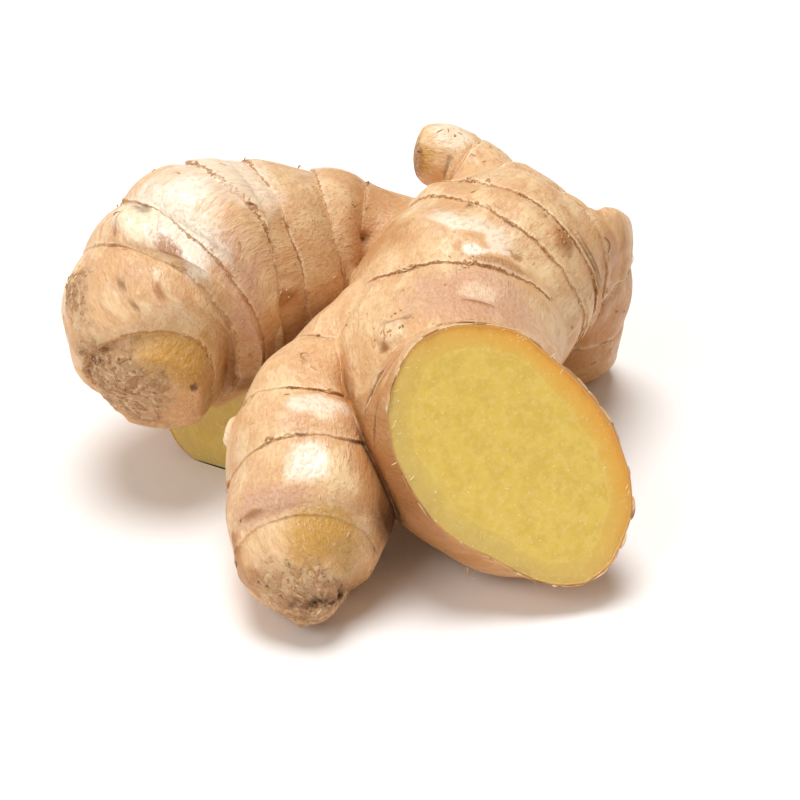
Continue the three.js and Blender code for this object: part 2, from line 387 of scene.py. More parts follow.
def tube_faces(rows: int, columns: int) -> list[Array]:
    """Faces of a closed tube: a grid of points, then its first pole and its last one.

    Args:
        rows: rows of points from pole to pole.
        columns: points round each row.

    Returns:
        Quads between the rows and triangles at the two poles, all facing outwards.
    """
    i = np.arange(rows * columns).reshape(rows, columns)
    ahead = np.roll(i, -1, axis=1)
    quads = np.stack([i[:-1], i[1:], ahead[1:], ahead[:-1]], -1).reshape(-1, 4)
    first = np.full(columns, rows * columns)
    root = np.stack([first, i[0], ahead[0]], -1)
    tip = np.stack([first + 1, ahead[-1], i[-1]], -1)
    return [quads, root, tip]


@dataclass
class Lobe:
    """One lobe of the rhizome: a tube of changing oval section along a curved middle line.

    Attributes:
        name: its plain name.
        stations: x, y, z, half width and half height of the section, in mm, in a row.
        rings: distance of each leaf scar, then how much further along its side and its
            upper edge lie.
        shows: how well each ring shows, up to 1.
        cap: the lengths over which the root end and the tip end close.
        roll: turn of the oval section about the middle line, in degrees.
        up: the way that the section's upper side looks.
        cut: the knife cut that ends the lobe, if there is one.
        marks: patches, buds and scars on the skin, and patches of painted shade and painted highlight.
        seed: picks the random draws of its relief.
    """

    name: str
    stations: list[tuple[float, float, float, float, float]]
    rings: list[tuple[float, float, float]]
    cap: Pair
    roll: float = 0.0
    up: tuple[float, float, float] = (0.0, 0.0, 1.0)
    cut: Cut | None = None
    shows: list[float] = field(default_factory=list)
    marks: list[Mark] = field(default_factory=list)
    seed: int = 1

    def __post_init__(self) -> None:
        """Samples the middle line evenly in its stations."""
        self.shows = self.shows or [1.0] * len(self.rings)
        points = np.array(self.stations, float)
        t = np.linspace(0, 1, SPINE_SAMPLES + 1)
        self.line = curve(points[:, :3], t)
        self.radii = curve(points[:, 3:], t)
        along = unit(np.gradient(self.line, axis=0))
        self.side = unit(np.cross(along, np.array(self.up)))
        self.upper = np.cross(self.side, along)
        steps = np.linalg.norm(np.diff(self.line, axis=0), axis=1)
        self.length = np.concatenate([[0.0], np.cumsum(steps)])

    @property
    def total(self) -> float:
        """Length of the middle line, in mm."""
        return float(self.length[-1])

    def sampled(self, values: Array, distance: Array) -> Array:
        """Values of the middle line's samples, read at distances along it."""
        return np.stack([np.interp(distance, self.length, column) for column in values.T], -1)

    def local(self, distance: Array, angle: Array) -> Array:
        """Places as if the lobe were a straight round bar along Z with blunt ends, in mm."""
        radius = self.sampled(self.radii, distance).mean(-1) * self.closing(distance)
        return np.stack([np.cos(angle) * radius, np.sin(angle) * radius, distance + 0 * angle], -1)

    def closing(self, distance: Array) -> Array:
        """How wide the lobe is near its ends, from 0 at both to 1: quarter ellipses."""
        ends = (distance / self.cap[0], (self.total - distance) / self.cap[1])
        return math.prod(np.sqrt(np.clip(c, 0, 1) * (2 - np.clip(c, 0, 1))) for c in ends)

    def reach(self, distance: Array, angle: Array) -> Array:
        """How far along the middle line the skin of a row lies at an angle.

        The lean of the rings on both sides is shared out between them, and two sizes of
        unevenness make each ring stray from its plane.
        """
        marks = np.array([(0, 0, 0), *self.rings, (self.total, 0, 0)], float)
        sideways = np.interp(distance, marks[:, 0], marks[:, 1])
        upward = np.interp(distance, marks[:, 0], marks[:, 2])
        stray = uneven_layers(self.local(distance, angle), WANDER, self.seed)
        calm = np.clip(np.minimum(distance, self.total - distance) / WANDER_FADE, 0, 1)
        return distance + sideways * np.cos(angle) + upward * np.sin(angle) + stray * calm

    def gap(self, place: Array) -> Array:
        """How far places are from the lobe's skin, its section taken as round, in mm."""
        flat = place.reshape(-1, 3)
        nearest = np.full(len(flat), np.inf)
        for centre, radius in zip(self.line[::GAP_STRIDE], self.radii[::GAP_STRIDE].mean(-1)):
            nearest = np.minimum(nearest, np.linalg.norm(flat - centre, axis=1) - radius)
        return nearest.reshape(place.shape[:-1])

    def exposed(self, place: Array) -> Array:
        """Where skin lies free: clear of all other lobes, of the table and of the cut."""
        others = [other.gap(place) for other in LOBES if other is not self]
        free = (np.minimum.reduce(others) > CLEAR_OF_LOBES) & (place[..., 2] > CLEAR_OF_TABLE)
        return free & (self.cut.height(place) < -CLEAR_OF_CUT) if self.cut else free

    def wear(self, distance: Array, angle: Array) -> Array:
        """How well the rings show, from where they are rubbed away to 1."""
        spots = unevenness(self.local(distance, angle) * (1, 1, 0.4), RUBBED_WIDTH, self.seed + 11)
        return LEAST_RING + (1 - LEAST_RING) * smooth_step(*RUBBED_LIMITS, spots)

    def ring_relief(self, distance: Array, angle: Array) -> Array:
        """Height of the skin near the rings and between them, in mm.

        The skin rises exponentially to a lip before each ring, drops over a narrow step and
        rises out of a groove past it. A frayed rim stands on the lip, and between two rings
        the skin bulges as half a sine wave.
        """
        show = self.wear(distance, angle)
        fray = smooth_step(0.0, 0.7, unevenness(self.local(distance, angle), FRAY_WAVE, self.seed + 21))
        relief = np.zeros(np.broadcast(distance, angle).shape)
        for (ring, *_), strength in zip(self.rings, self.shows):
            past = distance - ring
            lip = LIP * np.exp(np.minimum(past, 0) / RING_EDGE)
            lip = lip + FRAY * fray * np.exp(np.minimum(past, 0) / FRAY_EDGE)
            groove = -GROOVE * np.exp(-np.maximum(past, 0) / RING_EDGE)
            drop = smooth_step(-STEP_HALF, STEP_HALF, past)
            relief = relief + (lip * (1 - drop) + groove * drop) * show * strength
        for (start, *_), (end, *_) in itertools.pairwise(self.rings):
            share = np.clip((distance - start) / (end - start), 0, 1)
            relief = relief + BULGE * np.sin(math.pi * share)
        return relief

    def mark_shares(self, distance: Array, angle: Array) -> list[Array]:
        """How strongly each mark covers the skin, from 0 to 1.

        A mark is an ellipse along and across the lobe, taken as straight, with a wavering edge.
        """
        local = self.local(distance, angle)
        waver = uneven_layers(local, MARK_WAVER, self.seed + 31)
        shares = []
        for mark in self.marks:
            gap = local - self.local(np.array(mark.at[0]), np.array(math.radians(mark.at[1])))
            across = np.hypot(gap[..., 0], gap[..., 1])
            away = np.hypot(gap[..., 2] / mark.reach[0], across / mark.reach[1])
            shares.append(smooth_step(*MARK_FADE, away + waver))
        return shares

    def skin(self, distance: Array, angle: Array, others: list["Lobe"]) -> tuple[Array, Array]:
        """Places on the skin and the way out there.

        Args:
            distance: along the lobe, in mm.
            angle: round it in radians, 0 at its side and a quarter turn at its upper side.
            others: the lobes that this one swells towards.

        Returns:
            Places in mm and outward directions, in arrays of the same shape.
        """
        reach = self.reach(distance, angle)
        centre, side, upper = (self.sampled(v, reach) for v in (self.line, self.side, self.upper))
        side, upper = unit(side), unit(upper)
        wide, tall = np.moveaxis(self.sampled(self.radii, reach), -1, 0)
        closing = self.closing(distance)
        turn = math.radians(self.roll)
        across = (wide * np.cos(angle) * closing)[..., None]
        above = (tall * np.sin(angle) * closing)[..., None]
        outward = side * np.cos(angle + turn)[..., None] + upper * np.sin(angle + turn)[..., None]
        place = centre + side * (across * math.cos(turn) - above * math.sin(turn))
        place = place + upper * (across * math.sin(turn) + above * math.cos(turn))
        swelling = np.zeros(place.shape[:-1])
        for other in others:
            near = np.clip(1 - other.gap(place) / BLEND, 0, 1)
            swelling += near * near * BLEND / 2
        out = self.ring_relief(distance, angle) + LUMP * lumps(place) + np.minimum(swelling, BLEND / 2)
        local = self.local(distance, angle)
        for k, (height, width, longer) in enumerate(WRINKLES):
            out = out + height * unevenness(local / (1, 1, longer), width, self.seed + 41 + k)
        for mark, share in zip(self.marks, self.mark_shares(distance, angle)):
            out = out + mark.height * share
            if mark.crag:
                out = out + mark.crag * share * crags(place, CRAG_WIDTH, self.seed + 51)
        return place + outward * (out * closing)[..., None], outward

    def rows(self) -> Array:
        """Distances of the rows: close at the ends, beside rings and in broken ends."""
        marks = [self.cap[0] * share for share in ROOT_ROWS]
        marks += [self.total - self.cap[1] * share for share in TIP_ROWS]
        marks += [ring + offset for ring, *_ in self.rings for offset in RING_ROWS]
        marks = np.unique(np.round(marks, 3))
        craggy = [m.at[0] - m.reach[0] for m in self.marks if m.crag and m.at[0] >= self.total - 1]
        dense = min(craggy, default=self.total)
        rows = [marks[:1]]
        for low, high in itertools.pairwise(marks):
            step = CRAG_GRID if low >= dense else GRID
            count = max(1, math.ceil((high - low) / step))
            rows.append(np.linspace(low, high, count + 1)[1:])
        return np.concatenate(rows)

    def columns(self) -> Array:
        """Angles round the lobe, as many as the widest section needs."""
        count = int(2 * math.pi * self.radii.max() / GRID)
        return np.arange(count) * 2 * math.pi / count

    def cut_end(self, angles: Array, others: list["Lobe"]) -> Array:
        """The distances at which the skin meets the cut, read from a fine sampling."""
        fine = np.linspace(CUT_FROM * self.total, self.total, CUT_SAMPLES)
        place, _ = self.skin(fine[:, None] + 0 * angles, angles + 0 * fine[:, None], others)
        beyond = self.cut.height(place)
        first = np.maximum(np.argmax(beyond > 0, axis=0), 1)
        column = np.arange(len(angles))
        low, high = beyond[first - 1, column], beyond[first, column]
        return fine[first - 1] + (fine[first] - fine[first - 1]) * low / (low - high)

    def cut_rows(self, rows: Array, angles: Array, others: list["Lobe"]) -> Array:
        """Row distances for each column of a cut lobe, so that the last row lies on the cut.

        The rows beyond the last uncut one are spread over what is left of each column.
        """
        end = self.cut_end(angles, others)
        start = end.min() - CUT_SPREAD
        kept = rows[rows < start]
        count = math.ceil((end.max() - start) / GRID)
        shares = np.linspace(0, 1, count + 1)
        return np.vstack([kept[:, None] + 0 * end, start + shares[:, None] * (end - start)])

    def face(self, rim: Array) -> tuple[Array, Array, Array]:
        """Rows of a cut face, from its rim to its middle.

        Each row is the rim drawn in towards its middle by a set width. A thin edge of skin
        stands proud, the flesh just inside it has shrunk a little, and the rest is the
        knife's plane with slight unevenness.

        Args:
            rim: the last row of skin, in the plane of the cut.

        Returns:
            The places of the rows, their middle point and each row's distance to the rim.
        """
        middle = rim.mean(0)
        radius = np.linalg.norm(rim - middle, axis=1)
        inside = np.arange(FACE_INSIDE, radius.min() - FACE_CORE, FACE_STEP)
        inner = inside[-1]
        depth = np.concatenate([FACE_ROWS, inside])[:, None] + 0 * radius
        late = smooth_step(FACE_KEPT, inner, depth)
        depth = depth * (1 - late) + late * (depth / inner) * (radius - FACE_CORE)
        place = middle + (rim - middle) * (1 - depth / radius)[..., None]
        level = np.interp(depth, *FACE_HEIGHTS)
        grain = uneven_layers(place, FACE_GRAIN, self.seed + 61)
        level = level + grain * smooth_step(*GRAIN_LIMITS, depth)
        return place + self.cut.normal * level[..., None], middle, depth

    def surface(self, kin: list["Lobe"], others: list["Lobe"]) -> tuple[Array, list[Array], dict[str, Array]]:
        """The closed surface of the lobe.

        Args:
            kin: the lobes that it grew from or that grew from it.
            others: the lobes that it only touches.

        Returns:
            Its points in mm, its faces and the values of its points.
        """
        angles, rows = self.columns(), self.rows()
        distance = rows[:, None] + 0 * angles
        if self.cut:
            distance = self.cut_rows(rows, angles, kin)
        angle = angles + 0 * distance
        place, _ = self.skin(distance, angle, kin)
        fields = self.fields(distance, angle)
        nearest = np.minimum.reduce([other.gap(place) for other in others])
        # Painted shade where the skin of a lobe that it only touches is near.
        fields["painted_shade"] = smooth_step(SHADE_REACH, 0.0, nearest)
        fields["ring_wear"] = fields["ring_wear"] * smooth_step(0.0, FADE_REACH, nearest)
        root = place[0].mean(0)
        if self.cut:
            last = place[-1]
            place[-1] = last - self.cut.height(last)[:, None] * self.cut.normal
            flesh, tip, depth = self.face(place[-1])
            place = np.concatenate([place, flesh])
            for key, values in fields.items():
                repeat = np.repeat(values[-1:], len(flesh), axis=0)
                fields[key] = np.concatenate([values, repeat])
            fields["painted_shade"][len(distance) :] = 0
            fields["rim"] = np.concatenate([np.full(distance.shape, -1.0), depth])
        else:
            tip = place[-1].mean(0)
            fields["rim"] = np.full(distance.shape, -1.0)
        points = np.vstack([place.reshape(-1, 3), root, tip])
        ends = {k: np.stack([v[0].mean(0), v[-1].mean(0)]) for k, v in fields.items()}
        flat = {
            k: np.concatenate([v.reshape(-1, *v.shape[2:]), ends[k]]) for k, v in fields.items()
        }
        return points, tube_faces(*place.shape[:2]), flat

    def fields(self, distance: Array, angle: Array) -> dict[str, Array]:
        """Values that the finishes read: place on the lobe, rings and marks.

        Returns:
            Arrays by attribute name. ring_gap is the distance to the nearest ring, and
            ring_side is positive past a ring, negative before it and 0 far from any.
        """
        rings = np.array([ring for ring, *_ in self.rings])
        past = distance[..., None] - rings
        which = np.abs(past).argmin(-1)
        nearest = np.take_along_axis(past, which[..., None], -1)[..., 0]
        fields = {
            "lobe_place": self.local(distance, angle),
            "ring_gap": np.abs(nearest),
            "ring_side": np.clip(nearest, -1, 1) * np.exp(-np.square(nearest / RING_REACH)),
            "ring_wear": self.wear(distance, angle) * np.array(self.shows)[which],
        }
        for look in Blemish:
            fields[look.value] = np.zeros(distance.shape)
        for mark, share in zip(self.marks, self.mark_shares(distance, angle)):
            key = mark.look.value
            fields[key] = np.maximum(fields[key], share * mark.depth)
        return fields


def lumps(place: Array) -> Array:
    """Broad uneven growth from -1 to 1: the mean of three products of two crossed sine waves."""
    x, y, z = np.moveaxis(place * (2 * math.pi / LUMP_WAVE), -1, 0)
    first = np.sin(x + 1.3) * np.sin(0.8 * y + 0.4)
    second = np.sin(y + 2.1) * np.sin(0.9 * z + 1.9)
    third = np.sin(z + 0.6) * np.sin(0.7 * x + 2.7)
    return (first + second + third) / 3


LEFT_FINGER = Lobe(
    name="left_finger",
    seed=100,
    cap=(8, 2.5),
    stations=[
        (19, 26, 36, 11, 11),
        (4.9, 28.7, 38, 11.8, 11.8),
        (-4.2, 27.7, 38.6, 15.7, 15),
        (-15, 23.3, 37.8, 19, 19),
        (-22.9, 20.4, 38, 21, 19.5),
        (-27.6, 17.4, 38.3, 21.8, 22.4),
        (-31.9, 12.9, 36.1, 21.2, 21.2),
        (-36.6, 5.9, 32.9, 20.6, 20.7),
        (-38.4, -1.6, 30.8, 16.3, 17.4),
        (-37.8, -6.6, 28.2, 12.4, 12.8),
        (-38.2, -13.2, 25.4, 9.6, 10),
    ],
    rings=[
        (17, 0, 0),
        (24, -2, 1.5),
        (37.5, 2, 1),
        (45, 0, 3.5),
        (56.5, -3, -1),
        (67.5, -5, 0),
        (79, -1, -1.5),
    ],
    shows=[0.7, 0.8, 0.9, 1.0, 0.8, 0.5, 0.7],
    marks=[
        Mark(Blemish.SCAR, (85.4, 22), (9, 10), crag=0.8),
        Mark(Blemish.GOLDEN, (82.5, 104), (5.5, 7)),
        Mark(Blemish.GOLDEN, (82.5, 138), (6, 5)),
        Mark(Blemish.GLOSS_AND_PAINTED_HIGHLIGHT, (55.5, 99), (9, 12)),
        Mark(Blemish.GLOSS_AND_PAINTED_HIGHLIGHT, (60, 118), (7, 5)),
        Mark(Blemish.GLOSS_AND_PAINTED_HIGHLIGHT, (42, 92), (7, 12), depth=0.6),
        Mark(Blemish.PALE, (61, 84), (4.5, 3.4), height=0.5),
        Mark(Blemish.EARTH, (63.5, 72), (3.2, 0.5), height=-0.3, depth=0.6),
        Mark(Blemish.EARTH, (57.8, 77), (1.2, 2.6), height=-0.3, depth=0.6),
        Mark(Blemish.BRUISE, (62.6, 106), (2.6, 3.6), height=-0.25, crag=0.2),
        Mark(Blemish.PALE, (71.8, 98), (2.4, 0.7), depth=0.8),
        Mark(Blemish.BRUISE, (73.4, 100), (1.3, 1)),
        Mark(Blemish.EARTH, (74.6, 76), (0.7, 0.7), height=-0.2, depth=0.8),
        Mark(Blemish.EARTH, (75.7, 81), (0.6, 0.6), height=-0.2, depth=0.8),
        Mark(Blemish.BLUSH, (54.3, 140), (7, 8)),
        Mark(Blemish.BLUSH, (60.9, 164), (8, 7)),
        Mark(Blemish.PALE, (78, 116), (4, 7), depth=0.35),
        Mark(Blemish.BRUISE, (66.6, 212), (3, 2.4), height=-0.4),
        Mark(Blemish.PALE, (60.8, 72), (2.6, 3), height=1.0),
        Mark(Blemish.SCAR, (74, 38), (2.6, 4), height=0.9, crag=0.5),
        Mark(Blemish.BRUISE, (41.3, 172), (2, 2.2), height=1.2, crag=0.3),
        Mark(Blemish.GOLDEN, (36.5, 210), (3.4, 2), height=1.4),
        Mark(Blemish.PAINTED_SHADE_PATCH, (49, 236), (7, 6), depth=0.7),
        Mark(Blemish.PALE, (31, 330), (3, 2.2), height=1.5),
        Mark(Blemish.PAINTED_SHADE_PATCH, (30, 150), (10, 13), depth=0.5),
        Mark(Blemish.PAINTED_SHADE_PATCH, (12.9, 130), (8, 14), depth=0.9),
        Mark(Blemish.BRUISE, (15.4, 176), (3.4, 4), depth=0.6, crag=0.2),
        Mark(Blemish.BRUISE, (16.1, 148), (1.7, 1.5), height=-0.8, crag=0.5),
        Mark(Blemish.EARTH, (16.5, 149), (0.8, 0.6), height=-0.5, depth=0.8),
        Mark(Blemish.EARTH, (84.4, 160), (0.7, 1), height=-0.4),
    ],
)

FRONT_FINGER = Lobe(
    name="front_finger",
    seed=200,
    cap=(6, 2),
    stations=[
        (22, 3, 36, 9, 9),
        (12.7, 1.1, 36, 8, 8),
        (5.7, 0.1, 35, 7.5, 7.5),
        (-1, -2.3, 32.5, 7.5, 7.5),
        (-4.6, -8.8, 29.5, 8.4, 8.4),
        (-7.4, -15.1, 26.5, 10.5, 10.5),
        (-7.9, -21.3, 23.5, 13.3, 13.3),
        (-6.9, -28.6, 20, 15.3, 15.3),
        (-6.4, -35.1, 17, 15.4, 15.4),
        (-6.7, -42.6, 12.9, 13.9, 13.6),
        (-6.8, -48.7, 10.4, 12, 11.2),
        (-5.4, -52.8, 8.2, 7.6, 7.8),
        (-2.8, -56.4, 5, 2.6, 3.6),
    ],
    rings=[
        (29, 0.5, 0.5),
        (44.5, -1, -0.5),
        (58, 0, 0),
        (75.5, 1, -2),
    ],
    shows=[0.4, 1.0, 0.9, 0.35],
    marks=[
        Mark(Blemish.SCAR, (83.5, 34), (5.5, 7.5), crag=1.0, depth=0.75),
        Mark(Blemish.SCAR, (88, 0), (3, 900), crag=1.0, depth=0.8),
        Mark(Blemish.GOLDEN, (78, 108), (4.4, 8)),
        Mark(Blemish.GOLDEN, (80.1, 86), (2.4, 4), height=-0.2),
        Mark(Blemish.GOLDEN, (82.5, 122), (1.5, 3.4), depth=0.8),
        Mark(Blemish.BRUISE, (79.5, 24), (3.4, 1.2), height=0.3),
        Mark(Blemish.PALE, (82.9, 88), (1.1, 5), height=0.2),
        Mark(Blemish.EARTH, (85.9, 122), (1, 1.2), height=-0.6),
        Mark(Blemish.BRUISE, (85.4, 88), (1.5, 8), crag=0.4),
        Mark(Blemish.BRUISE, (84.2, 40), (1.6, 5), crag=0.4, depth=0.9),
        Mark(Blemish.BRUISE, (77.5, 8), (3, 2.2), height=0.3, crag=0.3, depth=0.8),
        Mark(Blemish.EARTH, (83.6, 30), (0.5, 1.2), height=-0.5, depth=0.7),
        Mark(Blemish.EARTH, (84.8, 46), (0.6, 1.8), height=-0.6, depth=0.8),
        Mark(Blemish.EARTH, (85.5, 70), (0.5, 2.2), height=-0.6, depth=0.8),
        Mark(Blemish.EARTH, (86.3, 94), (0.6, 1.0), height=-0.7, depth=0.7),
        Mark(Blemish.BRUISE, (72.4, 48), (1.1, 2.4), height=0.3, crag=0.4),
        Mark(Blemish.BLUSH, (71, 60), (4, 7)),
        Mark(Blemish.BRUISE, (74.6, 20), (2.4, 1.3), height=0.4, crag=0.2),
        Mark(Blemish.GLOSS_AND_PAINTED_HIGHLIGHT, (63.2, 90), (3.8, 3.6), depth=0.8),
        Mark(Blemish.GLOSS_AND_PAINTED_HIGHLIGHT, (50.1, 100), (3.6, 6), depth=0.8),
        Mark(Blemish.PAINTED_SHADE_PATCH, (64, 155), (16, 7), depth=0.7),
        Mark(Blemish.BRUISE, (44.3, 128), (0.9, 2.4), height=0.2),
        Mark(Blemish.PALE, (47.9, 6), (2, 2), height=1.1),
    ],
)

CENTRAL_BODY = Lobe(
    name="central_body",
    seed=300,
    cap=(5, 10),
    stations=[
        (45, 36, 41, 8, 7),
        (42.2, 31.2, 38.6, 16.4, 14.6),
        (36.6, 26.4, 37, 20.4, 17.6),
        (30.8, 19.9, 35.6, 21.3, 20),
        (26.2, 13.6, 33, 21.8, 21.5),
        (18.8, 6.6, 30, 20.2, 20.2),
        (11.7, -3.2, 30, 14.9, 14.9),
    ],
    rings=[(6, -2, -1.5), (17.5, 1, 1.5), (25.5, 0, -1)],
    marks=[
        Mark(Blemish.BRUISE, (20.5, 138), (1.6, 2.4), height=0.9),
        Mark(Blemish.EARTH, (19.4, 122), (0.6, 0.6), height=-0.2, depth=0.6),
        Mark(Blemish.EARTH, (31.2, 108), (0.5, 0.5), height=-0.2, depth=0.5),
        Mark(Blemish.EARTH, (26.2, 86), (0.6, 0.7), height=0.3, depth=0.7),
        Mark(Blemish.BRUISE, (31.1, 128), (1.6, 1), height=-0.2),
        Mark(Blemish.GLOSS_AND_PAINTED_HIGHLIGHT, (33.2, 104), (6, 9), depth=0.7),
        Mark(Blemish.EARTH, (16, 158), (0.35, 7), height=-0.3, depth=0.7),
        Mark(Blemish.EARTH, (14.2, 156), (0.3, 6), height=-0.3, depth=0.6),
        Mark(Blemish.PAINTED_SHADE_PATCH, (12, 165), (10, 13), depth=0.6),
        Mark(Blemish.BLUSH, (46, 130), (6, 12)),
        Mark(Blemish.PAINTED_SHADE_PATCH, (42, 54), (8, 7), depth=0.8),
        Mark(Blemish.PAINTED_SHADE_PATCH, (5, 195), (6, 13), depth=0.9),
    ],
)

CUT_FINGER = Lobe(
    name="cut_finger",
    seed=400,
    cap=(10, 6),
    roll=-29,
    stations=[
        (19.4, 26, 35, 14.9, 14.9),
        (21.3, 13.5, 33.5, 19.9, 19.5),
        (21, -1.2, 30, 20.3, 20.7),
        (21, -13, 27, 20.5, 23.6),
        (23.2, -22.5, 24.8, 20.6, 26.2),
        (27.8, -31.5, 26, 20.2, 28.4),
        (33.1, -40, 30.4, 17.6, 28.4),
        (35.2, -54.2, 36.4, 15, 22),
    ],
    rings=[(24.5, -0.5, 0), (52, 1, 0)],
    shows=[1.0, 0.3],
    cut=Cut((31.7, -40, 30), (0.22, -0.9, 0.4)),
    marks=[
        Mark(Blemish.BLUSH, (34.7, 136), (9, 14)),
        Mark(Blemish.BRUISE, (23.1, 146), (1.5, 7), height=0.15, crag=0.2, depth=0.8),
        Mark(Blemish.PALE, (33.5, 134), (3.2, 3.4), depth=0.6),
        Mark(Blemish.BRUISE, (37.8, 134), (0.7, 3), height=0.2),
        Mark(Blemish.PALE, (42.5, 87), (2.6, 3), height=1.2, crag=0.7, depth=0.35),
        Mark(Blemish.BRUISE, (44.8, 79), (1, 1.2), height=-0.2),
        Mark(Blemish.EARTH, (40.5, 92), (0.4, 2.6), height=-0.3, depth=0.6),
        Mark(Blemish.PAINTED_SHADE_PATCH, (50, 70), (7, 7), depth=0.5),
        Mark(Blemish.PAINTED_SHADE_PATCH, (58, 44), (12, 12)),
        Mark(Blemish.PAINTED_SHADE_PATCH, (61, 8), (12, 14)),
        Mark(Blemish.EARTH, (52, 62), (0.45, 5), height=-0.35, depth=0.8),
        Mark(Blemish.EARTH, (57, 46), (0.4, 4.4), height=-0.3, depth=0.7),
        Mark(Blemish.EARTH, (54, 74), (0.35, 4), height=-0.3, depth=0.7),
        Mark(Blemish.BLUSH, (60, 14), (8, 8)),
        Mark(Blemish.PAINTED_SHADE_PATCH, (11, 70), (7, 8), depth=0.8),
        Mark(Blemish.BRUISE, (61, 190), (9, 16), depth=0.5),
        Mark(Blemish.BRUISE, (58, 34), (8, 12), depth=0.5),
        Mark(Blemish.BLUSH, (58, 230), (12, 20), depth=0.8),
    ],
)

BACK_FINGER = Lobe(
    name="back_finger",
    seed=500,
    cap=(6, 2.5),
    stations=[
        (36, 31, 37, 13, 12.5),
        (33.6, 38.2, 39.4, 11, 10),
        (28.4, 45.2, 43.4, 7.4, 6.8),
        (23.4, 49, 46.2, 7, 7),
        (18.8, 50, 47.4, 7, 7),
        (13.6, 50.6, 47.8, 5.1, 5.4),
    ],
    rings=[(14, 1, 0.5), (22, 0, 1)],
    marks=[
        Mark(Blemish.SCAR, (36, 0), (2.4, 900), crag=0.6),
        Mark(Blemish.GOLDEN, (32, 160), (2.6, 3)),
        Mark(Blemish.BRUISE, (33.6, 168), (1.6, 3), height=0.2, crag=0.3),
        Mark(Blemish.EARTH, (26.6, 164), (0.8, 2.4), height=-0.2, depth=0.6),
        Mark(Blemish.GLOSS_AND_PAINTED_HIGHLIGHT, (27, 100), (4, 4), depth=0.6),
    ],
)

RIGHT_LOBE = Lobe(
    name="right_lobe",
    seed=600,
    cap=(3, 6),
    up=(0, -1, 0),
    stations=[
        (48.2, 32.3, 43, 8.3, 8.3),
        (48.6, 30, 38, 9.4, 9.4),
        (48.3, 32.9, 22, 10.6, 10.6),
        (47.8, 37.8, 8, 10.4, 10.4),
        (47.7, 36.6, -1, 7.9, 7.9),
    ],
    rings=[(11, 1, 0), (24, -1, 1)],
    marks=[
        Mark(Blemish.PALE, (16, 300), (3, 2.4), height=1.5),
        Mark(Blemish.PAINTED_SHADE_PATCH, (8, 104), (9, 3.4)),
        Mark(Blemish.EARTH, (8, 102), (8, 0.8), height=-0.5, depth=0.8),
        Mark(Blemish.PAINTED_SHADE_PATCH, (20, 90), (16, 14), depth=0.9),
        Mark(Blemish.PALE, (12, 118), (6, 1.2), depth=0.7),
    ],
)

UNDER_STUB = Lobe(
    name="under_stub",
    seed=700,
    cap=(6, 4),
    stations=[
        (6, 26, 28, 12, 12),
        (-6, 19, 19, 12, 12),
        (-16, 11, 13, 12.8, 12.8),
        (-26, 3.2, 11.4, 13, 13),
        (-34, -4.6, 11, 11.6, 11.6),
    ],
    rings=[(22, 0, 1), (38, 1, 0)],
    cut=Cut((-25.5, 3.4, 11.4), (-0.45, -0.87, 0.15)),
)

LOBES = (LEFT_FINGER, FRONT_FINGER, CENTRAL_BODY, CUT_FINGER, BACK_FINGER, RIGHT_LOBE, UNDER_STUB)

# The lobes that grew from each other.
GROWN_TOGETHER = (
    (CENTRAL_BODY, LEFT_FINGER),
    (CENTRAL_BODY, FRONT_FINGER),
    (CENTRAL_BODY, CUT_FINGER),
    (CENTRAL_BODY, BACK_FINGER),
    (CENTRAL_BODY, RIGHT_LOBE),
    (LEFT_FINGER, UNDER_STUB),
)


def kin_of(lobe: Lobe) -> list[Lobe]:
    """The lobes that one grew from or that grew from it."""
    return [b if a is lobe else a for a, b in GROWN_TOGETHER if lobe is a or lobe is b]


def strangers_of(lobe: Lobe) -> list[Lobe]:
    """The lobes that one only touches or stands beside."""
    kin = kin_of(lobe)
    return [other for other in LOBES if other is not lobe and not any(other is k for k in kin)]


def add(tree: Tree, kind: str, inputs: dict[int | str, Any] | None = None, **settings: Any) -> bpy.types.Node:
    """Adds a node to a tree.

    Args:
        tree: the tree.
        kind: the node's type, without its prefix.
        inputs: for each input, by name or number, a value or the socket that feeds it.
        settings: the node's own properties.

    Returns:
        The node.
    """
    node = tree.nodes.new(f"ShaderNode{kind}")
    for key, value in settings.items():
        setattr(node, key, value)
    feed(tree, node, inputs or {})
    return node


def feed(tree: Tree, node: bpy.types.Node, inputs: dict[int | str, Any]) -> None:
    """Gives a node's inputs, by name or number, their values or the sockets that feed them."""
    for key, value in inputs.items():
        if isinstance(value, Socket):
            tree.links.new(value, node.inputs[key])
        else:
            node.inputs[key].default_value = value


def linear(code: str) -> tuple[float, float, float, float]:
    """An sRGB colour as six hex digits, in the linear light that the shaders use."""
    srgb = [int(code[i : i + 2], 16) / 255 for i in (0, 2, 4)]
    light = [c / 12.92 if c <= 0.04045 else ((c + 0.055) / 1.055) ** 2.4 for c in srgb]
    return (*light, 1.0)


@dataclass(frozen=True)
class Grain:
    """A random pattern on a surface.

    Attributes:
        size: width of one blot, in mm.
        longer: how much longer a blot is along the lobe than round it.
        low: noise below this gives 0.
        high: noise above this gives 1.
        detail: how many finer layers it has.
        seed: moves the pattern to another place.
    """

    size: float
    longer: float = 1.0
    low: float = 0.35
    high: float = 0.65
    detail: float = 3.0
    seed: float = 0.0

    def paint(self, tree: Tree, place: Socket) -> Socket:
        """Adds the pattern's nodes and gives the socket that says how strong it is."""
        scale = (1 / self.size, 1 / self.size, 1 / (self.size * self.longer))
        moved = (self.seed * 3.7, self.seed * 1.9, self.seed * 5.3)
        spot = add(tree, "Mapping", {"Vector": place, "Scale": scale, "Location": moved})
        noise = add(tree, "TexNoise", {"Vector": spot.outputs[0], "Scale": 1.0, "Detail": self.detail})
        return ramp(tree, noise.outputs[0], self.low, self.high)


